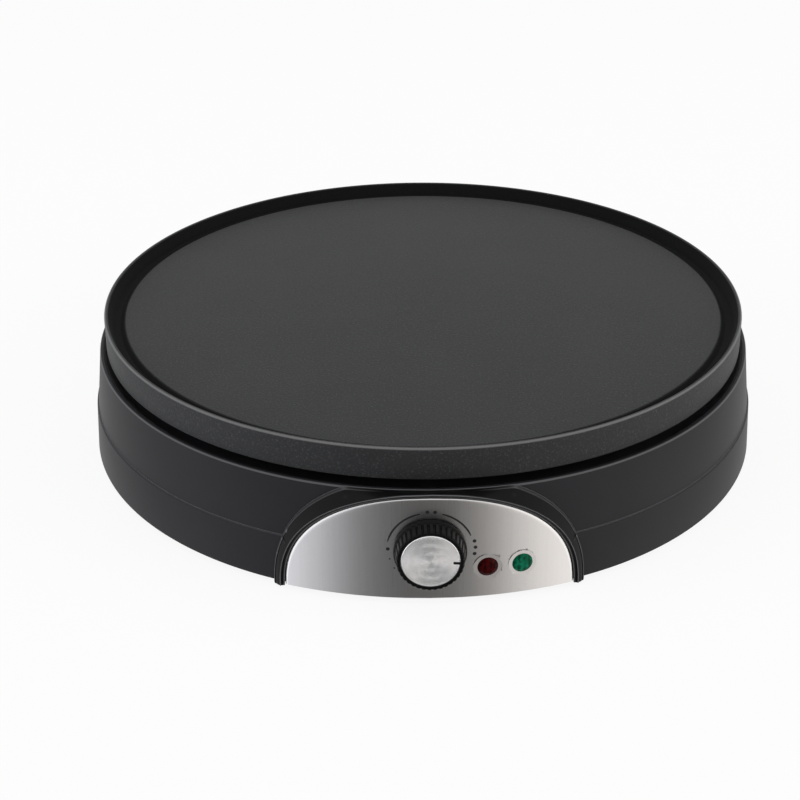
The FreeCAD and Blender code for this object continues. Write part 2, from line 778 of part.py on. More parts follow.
def front_bezel():
    outer = arch_slab("bezel_slab", "panel_half_width + bezel_width", "panel_top_z + bezel_rise",
                      below="bezel_drop")
    top = block("bezel_top_limit",
                ("2 * panel_curve_radius", "panel_curve_radius", "housing_top_z + bezel_over_top"),
                "0 - panel_curve_radius", "0 - panel_front - bezel_proud - through", 0)
    clipped = common("bezel_clipped", common("bezel_front", outer, top),
                     panel_drum("bezel_drum", "0 - bezel_proud"))
    recess_slab = arch_slab("recess_slab", "panel_half_width + bezel_groove", "panel_top_z + bezel_groove",
                            below="foot_height")
    recess = cut("panel_recess", recess_slab, [panel_drum("recess_floor", "panel_sheet + panel_play")])
    through = arch_slab("bezel_through", "panel_half_width - bezel_ledge", "panel_top_z - bezel_ledge",
                        below="foot_height")
    frame = cut("bezel_frame", clipped, [recess, through, housing_envelope()])
    web_slab = arch_slab("web_slab", "panel_half_width - bezel_ledge + web_overlap",
                         "panel_top_z - bezel_ledge + web_overlap", "flange_top_z + 0.2 + window_play")
    web_front = common("web_front_face", web_slab, panel_drum("web_drum", "panel_sheet + panel_play"))
    web = cut("panel_web", web_front,
              [panel_drum("web_rear_face", "panel_sheet + panel_play + web_thickness")])
    joined = fused("bezel_with_web", [frame, web])
    return cut("front_bezel", joined, panel_holes("bezel_hole", 0.1))


def lens(name, offset):
    part = turned(name, [
        (0, "lens_proud"), ("lens_radius - lens_crown", "lens_proud"),
        ("lens_radius - lens_round", "lens_proud - lens_round"),
        ("lens_radius", "fit_play"), ("lens_radius", "lens_seat"),
        ("lens_radius + lens_flange", "lens_seat"), ("lens_radius + lens_flange", "lens_back"),
        ("lens_radius - lens_wall", "lens_back"), ("lens_radius - lens_wall", "0 - lens_skin"),
        (0, "0 - lens_skin")])
    return lens_frame(part, offset)


def lamp_pieces():
    lamps = []
    sockets = []
    for name, offset in (("red", "red_lens_offset"), ("green", "green_lens_offset")):
        lamp = turned(f"lamp_{name}", [
            (0, "0 - lamp_gap - lamp_length"), ("lamp_radius", "0 - lamp_gap - lamp_length"),
            ("lamp_radius", "0 - lamp_gap - lamp_nose"), ("lamp_radius - lamp_taper", "0 - lamp_gap"),
            (0, "0 - lamp_gap")])
        lamps.append(lens_frame(lamp, offset))
        socket = turned(f"socket_{name}", [
            ("lamp_radius + fit_play", "0 - lamp_length"), ("lens_radius + socket_wall", "0 - lamp_length"),
            ("lens_radius + socket_wall", "lens_back - fit_play"),
            ("lamp_radius + fit_play", "lens_back - fit_play")])
        sockets.append(lens_frame(socket, offset))
    return [group("neon_lamps", lamps), group("lamp_sockets", sockets)]


# The thermostat behind the panel

def thermostat_bracket():
    plate = block("bracket_plate", ("2 * bracket_half_width", "bracket_sheet", "2 * bracket_half_height"),
                  "0 - bracket_half_width", "0 - panel_front - bracket_front",
                  "knob_z - bracket_half_height")
    leg = block("bracket_foot", ("2 * bracket_half_width", "bracket_leg", "bracket_sheet"),
                "0 - bracket_half_width", "0 - panel_front - bracket_front",
                "knob_z - bracket_half_height")
    hole = on_panel(rod("bracket_hole", "bush_radius + fit_play", HOLE_LENGTH), depth=HOLE_START)
    stack_hole = rod("bracket_stack_hole", "stack_screw_radius + fit_play", "bracket_sheet + 2 * through",
                     0, "stack_setback - panel_front", "knob_z - bracket_half_height - through")
    return cut("thermostat_bracket", fused("bracket_blank", [plate, leg]), [hole, stack_hole])


def thermostat_bush():
    part = turned("thermostat_bush", [
        ("spindle_radius + spindle_play", "bracket_back - fit_play - bush_collar_height"),
        ("bush_radius + bush_collar", "bracket_back - fit_play - bush_collar_height"),
        ("bush_radius + bush_collar", "bracket_back - fit_play"), ("bush_radius", "bracket_back - fit_play"),
        ("bush_radius", "hub_bottom - screw_play"),
        ("spindle_radius + spindle_play", "hub_bottom - screw_play")])
    return on_panel(part)


def bush_nut():
    hexagon = doc.addObject("Part::Prism", "nut_hexagon")
    hexagon.Polygon = 6
    bind(hexagon, "Circumradius", "nut_radius")
    bind(hexagon, "Height", "nut_height")
    on_panel(hexagon, depth="panel_play")
    bore = on_panel(rod("nut_bore", "bush_radius + thread_play", HOLE_LENGTH), depth=HOLE_START)
    return cut("bush_nut", hexagon, [bore])


STACK_LEVELS = ("blade_low", "blade_high", "bimetal")


def thermostat_stack():
    """Ceramic rings on the bracket's foot, with the two blades and the bimetal strip between them."""
    floor = "knob_z - bracket_half_height + bracket_sheet"
    setback = "stack_setback - panel_front"
    rings = []
    strips = {}
    for index in range(len(STACK_LEVELS) + 1):
        bottom = f"{floor} + {index} * (ring_height + blade_thickness)"
        ring = rod(f"ring_{index}", "stack_radius", "ring_height", 0, setback, bottom)
        bore = rod(f"ring_bore_{index}", "stack_screw_radius + fit_play", "ring_height + through", 0, setback,
                   f"{bottom} - through / 2")
        rings.append(cut(f"stack_ring_{index}", ring, [bore]))
    for index, name in enumerate(STACK_LEVELS):
        level = f"{floor} + ring_height + {index} * (ring_height + blade_thickness)"
        length = "stack_setback - strip_setback + blade_reach"
        strip = block(name + "_blank", ("blade_width", length, "blade_thickness"),
                      "0 - blade_width / 2", "strip_setback - panel_front", level)
        bore = rod(name + "_bore", "stack_screw_radius + fit_play", "blade_thickness + through", 0, setback,
                   f"{level} - through / 2")
        strips[name] = cut(name + "_drilled", strip, [bore])
    height = f"{len(STACK_LEVELS)} * (ring_height + blade_thickness) + ring_height + bracket_sheet"
    bolt = screw("stack_screw", 0, setback, "knob_z - bracket_half_height", height,
                 radius="stack_screw_radius")
    return [
        group("stack_insulators", rings),
        group("contact_blades", [strips["blade_low"], strips["blade_high"]]),
        group("bimetal_strip", [strips["bimetal"]]),
        group("stack_bolt", [bolt]),
    ]


# The knob and the spindle that it turns

def knob_shell():
    part = turned("knob_shell", [
        (0, "insert_seat"), ("insert_radius + fit_play", "insert_seat"),
        ("insert_radius + fit_play", "knob_front"),
        ("knob_ring_radius - edge_break", "knob_front"), ("knob_ring_radius", "knob_front - edge_break"),
        ("knob_ring_radius + edge_break", "knob_gap + knob_collar + knob_gap"),
        ("knob_base_radius", "knob_gap + knob_collar"), ("knob_base_radius", "knob_gap"),
        ("knob_ring_radius - knob_wall", "knob_gap"), ("knob_ring_radius - knob_wall", "cavity_top"),
        ("spindle_radius + hub_wall", "cavity_top"), ("spindle_radius + hub_wall", "hub_bottom"),
        ("spindle_radius + spindle_play", "hub_bottom"),
        ("spindle_radius + spindle_play", "spindle_tip + fit_play"), (0, "spindle_tip + fit_play")])
    return on_panel(part)


def knob_insert():
    disc = turned("insert_disc", [
        (0, 0), ("insert_radius", 0), ("insert_radius", "insert_thickness - insert_chamfer"),
        ("insert_radius - insert_chamfer", "insert_thickness"), (0, "insert_thickness")])
    on_panel(disc, depth="insert_seat + insert_play / 2")
    notch = block("insert_notch", ("notch_length + through", "insert_thickness + through", "notch_width"),
                  "insert_radius - notch_length", "0 - panel_front - knob_front - through / 2",
                  "knob_z - notch_width / 2")
    return cut("knob_insert", disc, [notch])


def knob_clip():
    inner = "spindle_radius + hub_wall + spindle_play"
    outer = f"{inner} + clip_sheet"
    part = turned("knob_clip", [
        (inner, "hub_bottom + clip_end_gap"), (outer, "hub_bottom + clip_end_gap"),
        (outer, "cavity_top - clip_end_gap"), (inner, "cavity_top - clip_end_gap")])
    return on_panel(part)


def thermostat_spindle():
    part = turned("thermostat_spindle", [
        (0, "0 - spindle_depth"), ("spindle_radius - spindle_step", "0 - spindle_depth"),
        ("spindle_radius - spindle_step", "0 - spindle_foot"),
        ("spindle_radius + spindle_collar", "0 - spindle_foot"),
        ("spindle_radius + spindle_collar", "0 - spindle_shoulder"),
        ("spindle_radius", "0 - spindle_shoulder"),
        ("spindle_radius", "spindle_tip"), (0, "spindle_tip")])
    return on_panel(part)


# The mains entry and the wiring

def cord_gland():
    part = turned("cord_gland", [
        ("gland_bore", "gland_back"), ("gland_radius + gland_barb", "gland_back"),
        ("gland_radius + gland_barb", "gland_back + gland_barb_height"),
        ("gland_radius", "gland_back + gland_barb_height"), ("gland_radius", "gland_seat"),
        ("gland_radius + gland_flange", "gland_seat"),
        ("gland_radius + gland_flange", "gland_seat + gland_flange_height"),
        ("gland_radius", "gland_seat + gland_flange_height + gland_seat"),
        ("gland_radius - gland_taper", "gland_length"), ("gland_bore", "gland_length")])
    return place(part, 0, "gland_wall_radius", "gland_z", TOWARDS_REAR)


def terminal_block():
    body = block("terminal_body", ("terminal_length", "terminal_depth", "terminal_height"),
                 "0 - terminal_length / 2", "terminal_radius - terminal_depth / 2", "cover_top_z")
    screws = []
    for index in (-1, 0, 1):
        screws.append(rod(f"terminal_screw_{index + 1}", "terminal_screw_radius", "terminal_screw_height",
                          f"terminal_pitch * {index}", "terminal_radius", "cover_top_z + terminal_height"))
    return [group("terminal_block", [body]), group("terminal_screws", screws)]


def earth_lug():
    tongue = block("lug_tongue", ("lug_width", "lug_length", "lug_sheet"),
                   "lug_side", "terminal_radius - terminal_depth", "cover_top_z")
    stud = rod("lug_stud", "stud_radius", "stud_height", "lug_side + lug_width / 2",
               "terminal_radius - lug_width", "cover_top_z")
    return fused("earth_lug", [tongue, stud])


def wire(name, points):
    """An insulated wire: straight runs joined by arcs that are tangent to them."""
    corners = [FreeCAD.Vector(*[value(number) for number in point]) for point in points]
    edges = []
    start = corners[0]
    for before, corner, after in zip(corners, corners[1:], corners[2:]):
        coming = (corner - before).normalize()
        going = (after - corner).normalize()
        half_turn = coming.getAngle(going) / 2
        setback = 0.45 * min((corner - before).Length, (after - corner).Length)
        bend_radius = setback / math.tan(half_turn)
        inward = (going - coming).normalize()
        entry = corner - coming * setback
        middle = corner + inward * bend_radius * (1 / math.cos(half_turn) - 1)
        leaving = corner + going * setback
        edges.append(Part.LineSegment(start, entry).toShape())
        edges.append(Part.Arc(entry, middle, leaving).toShape())
        start = leaving
    edges.append(Part.LineSegment(start, corners[-1]).toShape())
    route = Part.Wire(edges)
    section = Part.Wire(Part.makeCircle(value("wire_radius"), corners[0], corners[1] - corners[0]))
    part = doc.addObject("Part::Feature", name)
    part.Shape = route.makePipeShell([section], True, False)
    return part


def internal_wires():
    blade_end = "stack_setback + blade_reach + fit_play - panel_front"
    floor = "knob_z - bracket_half_height + bracket_sheet"
    low = f"{floor} + ring_height + blade_thickness / 2"
    high = f"{low} + ring_height + blade_thickness"
    left_x, left_y = leg_place(-1)
    right_x, right_y = leg_place(1)
    tab_z = "leg_bottom_z - tab_length - fit_play - wire_radius"
    entry = "terminal_radius - terminal_depth / 2 - 2 * fit_play"
    straight = f"{entry} - wire_run"
    live = wire("wire_live", [
        ("0 - terminal_pitch", entry, "wire_exit_z"), ("0 - terminal_pitch", straight, "wire_exit_z"),
        ("0 - bend_side", "bend_rear", "wire_run_z"), ("0 - live_side", "0 - bend_front", "wire_run_z"),
        (0, f"{blade_end} + wire_exit_z", low), (0, f"{blade_end} + wire_radius", low)])
    neutral = wire("wire_neutral", [
        ("terminal_pitch", entry, "wire_exit_z"), ("terminal_pitch", straight, "wire_exit_z"),
        ("bend_side", "bend_rear", "wire_run_z"), ("neutral_side", "0 - bend_front", "wire_run_z"),
        (right_x, right_y, tab_z)])
    element = wire("wire_element", [
        (0, f"{blade_end} + wire_radius", high), (0, f"{blade_end} + lug_width", high),
        (left_x, left_y, tab_z)])
    return [live, neutral, element]


def build_all():
    nodes = [
        cooking_plate(), heating_element(), element_bushings(), element_terminals(), element_clamps(),
        clamp_screws(), thermal_fuse(), fuse_clip(), fuse_screw(), heat_reflector(), plate_screws(),
        upper_housing(), lower_housing(), base_cover(), base_screws(), rubber_feet(),
        fascia_panel(), front_bezel(), lens("red_lens", "red_lens_offset"),
        lens("green_lens", "green_lens_offset"),
        thermostat_bracket(), thermostat_bush(), bush_nut(),
        knob_shell(), knob_insert(), knob_clip(), thermostat_spindle(),
        cord_gland(), earth_lug(),
    ]
    nodes += lamp_pieces()
    nodes += thermostat_stack()
    nodes += terminal_block()
    nodes += internal_wires()
    return nodes


def check(nodes):
    for obj in doc.Objects:
        if "Invalid" in obj.State or "Error" in obj.State:
            raise RuntimeError(f"{obj.Name} did not build: {obj.State}")
    for node in nodes:
        if node.Shape.isNull() or not node.Shape.isValid() or not node.Shape.Solids:
            raise RuntimeError(f"{node.Name} has no sound solid")


def write(nodes):
    os.makedirs("parts", exist_ok=True)
    for node in nodes:
        node.Label = node.Name
        node.Shape.exportStep(f"parts/{node.Name}.step")
        solids = node.Shape.Solids
        print(f"{node.Name}: {len(solids)} solids, {node.Shape.Volume / 1000:.2f} cm3")


fill_sheet()
probe = doc.addObject("Part::Vertex", "probe")
nodes = build_all()
doc.recompute()
check(nodes)
write(nodes)
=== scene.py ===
import json
import math

import bmesh
import bpy
from mathutils import Matrix, Vector


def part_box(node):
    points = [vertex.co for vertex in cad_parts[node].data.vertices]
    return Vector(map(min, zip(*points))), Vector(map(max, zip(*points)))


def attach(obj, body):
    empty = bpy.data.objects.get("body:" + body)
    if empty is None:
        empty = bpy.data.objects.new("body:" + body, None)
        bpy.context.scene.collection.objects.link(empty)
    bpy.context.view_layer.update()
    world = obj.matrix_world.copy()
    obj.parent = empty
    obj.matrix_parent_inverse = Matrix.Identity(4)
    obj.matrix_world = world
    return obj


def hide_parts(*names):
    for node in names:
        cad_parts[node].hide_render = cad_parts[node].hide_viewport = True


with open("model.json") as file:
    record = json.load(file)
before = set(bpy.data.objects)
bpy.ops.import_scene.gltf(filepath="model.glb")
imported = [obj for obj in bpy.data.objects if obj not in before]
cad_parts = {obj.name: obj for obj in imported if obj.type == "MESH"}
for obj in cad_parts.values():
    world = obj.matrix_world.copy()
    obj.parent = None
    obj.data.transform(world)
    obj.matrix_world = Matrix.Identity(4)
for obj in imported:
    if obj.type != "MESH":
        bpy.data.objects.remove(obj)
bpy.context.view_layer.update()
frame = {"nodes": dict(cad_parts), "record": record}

MM = 0.001

# Places read from the frame, in metres
PLATE_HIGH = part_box("cooking_plate")[1]
LOWER_LOW, LOWER_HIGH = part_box("lower_housing")
UPPER_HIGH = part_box("upper_housing")[1]
PANEL_LOW, PANEL_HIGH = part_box("fascia_panel")
BEZEL_LOW, BEZEL_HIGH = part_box("front_bezel")
KNOB_LOW, KNOB_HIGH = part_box("knob_shell")
INSERT_LOW, INSERT_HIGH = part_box("knob_insert")
GLAND_LOW, GLAND_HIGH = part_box("cord_gland")
RED_LOW, RED_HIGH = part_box("red_lens")
GREEN_LOW, GREEN_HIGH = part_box("green_lens")

# The plate's rim
RIM_RADIUS = PLATE_HIGH.x
RIM_TOP = PLATE_HIGH.z

# The housing: its lower shell narrows towards the seam, and the upper one starts a step further in
WALL = 2.4 * MM
LOWER_DRAFT = 1.1 * MM
SEAM_STEP = 0.7 * MM
SHELF_DROP = 5.1 * MM
HOUSING_BOTTOM = LOWER_LOW.z
HOUSING_TOP = UPPER_HIGH.z
SEAM_Z = LOWER_HIGH.z
BOTTOM_RADIUS = LOWER_HIGH.x
SEAM_RADIUS = BOTTOM_RADIUS - LOWER_DRAFT
UPPER_SEAM_RADIUS = SEAM_RADIUS - SEAM_STEP
TOP_RADIUS = 163.7 * MM
SHELF_TOP = HOUSING_TOP - SHELF_DROP

# The curved control panel, its knob and its lamps
PANEL_CURVE = 175.0 * MM
PANEL_SHEET = 0.8 * MM
PANEL_FRONT = -PANEL_LOW.y
PANEL_CENTRE_Y = PANEL_CURVE - PANEL_FRONT
PANEL_HALF = PANEL_HIGH.x
PANEL_FOOT = PANEL_LOW.z
PANEL_RISE = PANEL_HIGH.z - PANEL_LOW.z
ARCH_POWER = 2.2
ARCH_STEPS = 120
KNOB_Z = (KNOB_LOW.z + KNOB_HIGH.z) / 2
LENS_Z = (RED_LOW.z + RED_HIGH.z) / 2
LENS_RADIUS = 4.9 * MM
RED_OFFSET = 25.5 * MM
GREEN_OFFSET = 41.2 * MM


# Meshes

def linked(name, data):
    """An object in the scene that holds a mesh, a lamp or a camera."""
    made = bpy.data.objects.new(name, data)
    bpy.context.scene.collection.objects.link(made)
    return made


def mesh_of(name, verts, faces):
    mesh = bpy.data.meshes.new(name)
    mesh.from_pydata([tuple(v) for v in verts], [], faces)
    return mesh


def smoothed(mesh, sharp):
    """Smooth shading, but for edges whose faces meet at more than an angle in degrees."""
    mesh.shade_smooth()
    mesh.set_sharp_from_angle(angle=math.radians(sharp))


def piece(name, verts, faces, slot, look=None, body="base", replaces=(), sharp=35):
    """A piece of the object that rides a body; it wears its slot's finish unless a look is given."""
    mesh = mesh_of(name, verts, faces)
    form = bmesh.new()
    form.from_mesh(mesh)
    bmesh.ops.remove_doubles(form, verts=form.verts, dist=1e-6)
    bmesh.ops.dissolve_degenerate(form, edges=form.edges, dist=1e-7)
    bmesh.ops.recalc_face_normals(form, faces=form.faces)
    form.to_mesh(mesh)
    form.free()
    smoothed(mesh, sharp)
    mesh.materials.append(look or FINISH[slot])
    made = linked(name, mesh)
    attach(made, body)
    if replaces:
        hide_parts(*replaces)
    return made


def carved(whole, cutter):
    """Cut one object out of another, and drop the cutter."""
    carve = whole.modifiers.new("carve", "BOOLEAN")
    carve.operation = "DIFFERENCE"
    carve.solver = "EXACT"
    carve.object = cutter
    bpy.context.view_layer.update()
    graph = bpy.context.evaluated_depsgraph_get()
    result = bpy.data.meshes.new_from_object(whole.evaluated_get(graph))
    whole.modifiers.clear()
    whole.data = result
    bpy.data.objects.remove(cutter)


# A corner whose half angle, in radians, is past this is left as it is
NEARLY_STRAIGHT = 1.55

# How much of each side next to a corner its arc may take
ARC_SHARE = 0.45


def softened(corners, steps=5):
    """A closed outline whose corners (across, up, fillet radius) are rounded with arcs."""
    outline = []
    for index, (across, up, radius) in enumerate(corners):
        here = Vector((across, up))
        before = Vector(corners[index - 1][:2]) - here
        after = Vector(corners[(index + 1) % len(corners)][:2]) - here
        half = before.angle(after) / 2
        if radius <= 0 or half > NEARLY_STRAIGHT:
            outline.append(here)
            continue
        reach = min(radius / math.tan(half), ARC_SHARE * before.length, ARC_SHARE * after.length)
        round_radius = reach * math.tan(half)
        start = here + before.normalized() * reach
        finish = here + after.normalized() * reach
        inward = (before.normalized() + after.normalized()).normalized()
        middle = here + inward * round_radius / math.sin(half)
        first = start - middle
        last = finish - middle
        for step in range(steps + 1):
            outline.append(middle + first.lerp(last, step / steps).normalized() * round_radius)
    return outline


def turned_faces(segments, rows):
    """The faces of a closed outline turned about an axis, with a column of points for each step."""
    faces = []
    for step in range(segments):
        here = step * rows
        there = (step + 1) % segments * rows
        for row in range(rows):
            after = (row + 1) % rows
            faces.append((here + row, there + row, there + after, here + after))
    return faces


def lathe(name, corners, slot, segments=256, turn=Matrix(), **options):
    """A closed outline turned about Z; turn is the frame that it is then set in."""
    outline = softened(corners)
    verts = []
    for step in range(segments):
        angle = 2 * math.pi * step / segments
        for across, up in outline:
            verts.append(turn @ Vector((across * math.cos(angle), across * math.sin(angle), up)))
    return piece(name, verts, turned_faces(segments, len(outline)), slot, **options)


def circle(turn, radius, up, segments):
    """Points round a circle at a height, set in a frame."""
    angles = [2 * math.pi * step / segments for step in range(segments)]
    return [turn @ Vector((radius * math.cos(angle), radius * math.sin(angle), up)) for angle in angles]


def stacked_faces(levels, segments):
    """The faces between circles of points that follow one another."""
    faces = []
    for level in range(levels - 1):
        for step in range(segments):
            a = level * segments + step
            b = level * segments + (step + 1) % segments
            faces.append((a, b, b + segments, a + segments))
    return faces


def arch(half_width, rise, lean):
    """A point of the arch outline, from -1 at its left foot over its crown to 1 at its right foot."""
    across = half_width * math.copysign((1 - (1 - abs(lean)) ** ARCH_POWER) ** (1 / ARCH_POWER), lean)
    up = rise * max(0.0, 1 - abs(across / half_width) ** ARCH_POWER) ** (1 / ARCH_POWER)
    return across, up


def leans():
    return [step / ARCH_STEPS for step in range(-ARCH_STEPS, ARCH_STEPS + 1)]


def panel_point(across, up, proud=0.0):
    """A point on the curved panel's face, or some way proud of it."""
    return Vector((across, PANEL_CENTRE_Y - math.sqrt((PANEL_CURVE + proud) ** 2 - across ** 2), up))


def panel_turn(offset, up):
    """The frame of a piece that stands square on the curved panel, a distance along its curve."""
    angle = offset / PANEL_CURVE
    seat = Vector((PANEL_CURVE * math.sin(angle), PANEL_CENTRE_Y - PANEL_CURVE * math.cos(angle), up))
    return Matrix.Translation(seat) @ Matrix.Rotation(angle, 4, "Z") @ Matrix.Rotation(math.pi / 2, 4, "X")


def housing_radius(up):
    if up <= SEAM_Z:
        part = (up - HOUSING_BOTTOM) / (SEAM_Z - HOUSING_BOTTOM)
        return BOTTOM_RADIUS + (SEAM_RADIUS - BOTTOM_RADIUS) * part
    part = (up - SEAM_Z) / (HOUSING_TOP - SEAM_Z)
    return UPPER_SEAM_RADIUS + (TOP_RADIUS - UPPER_SEAM_RADIUS) * part


# Shaders

class Wire:
    """A socket of a node tree; arithmetic on it adds nodes."""

    def __init__(self, nodes, socket):
        self.nodes = nodes
        self.socket = socket

    def join(self, operation, other, flipped=False):
        pair = {0: other, 1: self} if flipped else {0: self, 1: other}
        return self.nodes.node("ShaderNodeMath", {"operation": operation}, pair)

    def __add__(self, other):
        return self.join("ADD", other)

    def __sub__(self, other):
        return self.join("SUBTRACT", other)

    def __rsub__(self, other):
        return self.join("SUBTRACT", other, True)

    def __mul__(self, other):
        return self.join("MULTIPLY", other)

    __radd__ = __add__
    __rmul__ = __mul__


class Nodes:
    """A node tree that is written as calls."""

    def __init__(self, tree):
        self.tree = tree
        self.tree.nodes.clear()

    def node(self, kind, settings=None, sockets=None, out=0):
        """A node of a kind, with its settings and its sockets; it gives back its output, if it has one."""
        made = self.tree.nodes.new(kind)
        for key, value in (settings or {}).items():
            if key == "stops":
                ramp = made.color_ramp
                while len(ramp.elements) < len(value):
                    ramp.elements.new(0.5)
                for element, (place, shade) in zip(ramp.elements, value):
                    element.position = place
                    element.color = (*shade, 1)
            else:
                setattr(made, key, value)
        for key, value in (sockets or {}).items():
            if isinstance(value, Wire):
                self.tree.links.new(value.socket, made.inputs[key])
            else:
                made.inputs[key].default_value = value
        return Wire(self, made.outputs[out]) if made.outputs else None

    def vector(self, operation, first, second=(0, 0, 0)):
        return self.node("ShaderNodeVectorMath", {"operation": operation}, {0: first, 1: second})

    def length(self, vector):
        return self.node("ShaderNodeVectorMath", {"operation": "LENGTH"}, {0: vector}, out="Value")

    def part(self, vector, axis):
        return self.node("ShaderNodeSeparateXYZ", {}, {0: vector}, out=axis)

    def place(self, scale=(1, 1, 1)):
        """Position on the object in millimetres, stretched by a scale."""
        spot = self.node("ShaderNodeTexCoord", out="Object")
        return self.vector("MULTIPLY", spot, tuple(part / MM for part in scale))

    def away(self, centre):
        """The way from a point of the object, in millimetres."""
        return self.vector("SUBTRACT", self.place(), tuple(centre / MM))

    def noise(self, size, scale=(1, 1, 1), detail=2.0, rough=0.5):
        """Noise between 0 and 1 whose grains are about a size in millimetres."""
        return self.node("ShaderNodeTexNoise", {}, {
            "Vector": self.place(scale), "Scale": 1.0 / size, "Detail": detail, "Roughness": rough})

    def blend(self, factor, first, second):
        return self.node("ShaderNodeMix", {"data_type": "RGBA"}, {
            0: factor, 6: (*first, 1) if isinstance(first, tuple) else first,
            7: (*second, 1) if isinstance(second, tuple) else second}, out=2)

    def stretch(self, value, low, high):
        """0 up to low, 1 from high on, and a soft step between; low may be the larger of the two."""
        return self.node("ShaderNodeMapRange", {"interpolation_type": "SMOOTHSTEP"}, {
            "Value": value, 1: low, 2: high})

    def bump(self, height, strength, depth):
        """A normal bent by a height, its depth in millimetres."""
        return self.node("ShaderNodeBump", {}, {
            "Height": height, "Strength": strength, "Distance": depth * MM})


def node_material(name):
    made = bpy.data.materials.new(name)
    made.use_nodes = True
    return made, Nodes(made.node_tree)


def material(name, **sockets):
    """A Principled material; its sockets are given by name with _ for a space."""
    made, nodes = node_material(name)

    def fill(**more):
        values = {key.replace("_", " "): value for key, value in {**sockets, **more}.items()}
        surface = nodes.node("ShaderNodeBsdfPrincipled", {}, values)
        nodes.node("ShaderNodeOutputMaterial", {}, {"Surface": surface})
        return made

    return nodes, fill


def shaded(colour, factor):
    return tuple(min(1, part * factor) for part in colour)


# Painted highlights on plastic: its convex edges, and a moulded lip between given heights, are made lighter
# in the colour
PAINTED_EDGE_HIGHLIGHT = (0.16, 0.16, 0.165)
PAINTED_LIP_HIGHLIGHT = (0.11, 0.11, 0.115)
LIP_FADE = 0.1


def moulded_plastic(name, colour, roughness, depth=0.03, painted_edge_light=0.0, specular=0.5, painted_lip_bands=()):
    """Moulded plastic with a fine spark-eroded grain, faint cloudiness and a painted highlight that
    lightens its convex edges.

    Each lip band is a pair of heights in millimetres, low and high, between which a moulded lip is painted
    lighter as a highlight."""
    nodes, fill = material(name, Specular_IOR_Level=specular)
    cloud = nodes.noise(38.0, detail=3.0)
    grain = nodes.noise(0.5, detail=2.0)
    body = nodes.blend(cloud * 0.6 + grain * 0.4, shaded(colour, 0.75), shaded(colour, 1.25))
    # Painted highlight: convex edges, found by their pointiness, are made lighter in the colour
    edge = nodes.stretch(nodes.node("ShaderNodeNewGeometry", out="Pointiness"), 0.505, 0.56)
    shade = nodes.blend(edge * painted_edge_light, body, PAINTED_EDGE_HIGHLIGHT)
    height = nodes.part(nodes.place(), "Z")
    for low, high in painted_lip_bands:
        # Painted highlight: each band of heights on a moulded lip is made lighter in the colour
        lit = nodes.stretch(height, low - LIP_FADE, low) * nodes.stretch(height, high + LIP_FADE, high)
        shade = nodes.blend(lit * 0.7, shade, PAINTED_LIP_HIGHLIGHT)
    return fill(Base_Color=shade, Roughness=roughness - 0.06 + grain * 0.12,
                Normal=nodes.bump(grain, 0.35, depth))


def cast_coating(name, colour):
    """Non-stick coat over a casting: a pebble grain, lighter flecks, a groove painted dark, partly as shade
    in the recess and partly as a darker coat, and a rim lip painted light as a highlight.
    """
    nodes, fill = material(name, Specular_IOR_Level=0.15)
    pebbles = nodes.noise(0.9, detail=3.0, rough=0.6)
    flecks = nodes.stretch(nodes.noise(1.0, detail=4.0, rough=0.7), 0.52, 0.68)
    cloud = nodes.noise(45.0, detail=3.0)
    base = nodes.blend(cloud, shaded(colour, 0.85), shaded(colour, 1.15))
    grained = nodes.blend(flecks * 0.45, base, shaded(colour, 3.2))
    edge = RIM_RADIUS / MM
    top = RIM_TOP / MM
    radius = nodes.length(nodes.place((1, 1, 0)))
    height = nodes.part(nodes.place(), "Z")
    # Painted shade: the groove and the rim's inner wall are darkened in the colour, partly for the shade in
    # that recess and partly for a darker coat there
    groove = nodes.stretch(radius, edge - 10.7, edge - 9.3) * nodes.stretch(radius, edge - 1.4, edge - 2.1)
    sunk = nodes.blend(groove * 0.95, grained, shaded(colour, 0.08))
    # Painted highlight: the rim's outer top edge is made lighter in the colour
    lip = nodes.stretch(radius, edge - 1.1, edge - 0.4) * nodes.stretch(height, top - 1.2, top - 0.5)
    shade = nodes.blend(lip * 0.8, sunk, (0.16, 0.16, 0.16))
    return fill(Base_Color=shade, Roughness=0.46 + pebbles * 0.16 + groove * 0.3,
                Normal=nodes.bump(pebbles, 0.7, 0.16))


def brushed_steel(name):
    """Stainless sheet with an upright grain."""
    nodes, fill = material(name)
    fine = nodes.noise(0.09, scale=(1, 1, 0.004), detail=3.0, rough=0.7)
    broad = nodes.noise(1.6, scale=(1, 1, 0.01), detail=3.0)
    shade = nodes.blend(fine * 0.6 + broad * 0.4, (0.62, 0.61, 0.605), (0.74, 0.735, 0.73))
    return fill(Base_Color=shade, Metallic=1.0, Roughness=0.24 + fine * 0.1,
                Normal=nodes.bump(fine, 0.25, 0.02))


def spun_aluminium(name, centre):
    """Aluminium face turned on a lathe: fine rings about its centre."""
    nodes, fill = material(name)
    distance = nodes.length(nodes.vector("MULTIPLY", nodes.away(centre), (1, 0, 1)))
    ring = nodes.node("ShaderNodeTexNoise", {"noise_dimensions": "1D"},
                      {"W": distance, "Scale": 7.0, "Detail": 2.0, "Roughness": 0.6})
    shade = nodes.blend(ring, (0.93, 0.93, 0.93), (0.98, 0.98, 0.98))
    return fill(Base_Color=shade, Metallic=1.0, Roughness=0.18 + ring * 0.06,
                Normal=nodes.bump(ring, 0.15, 0.01))


def metal(name, colour, roughness=0.35, size=3.0):
    """Plain metal with a faint smear of a size in millimetres."""
    nodes, fill = material(name)
    smear = nodes.noise(size, detail=4.0)
    shade = nodes.blend(smear, shaded(colour, 0.85), shaded(colour, 1.1))
    return fill(Base_Color=shade, Metallic=1.0, Roughness=roughness - 0.08 + smear * 0.16,
                Normal=nodes.bump(smear, 0.1, 0.05))


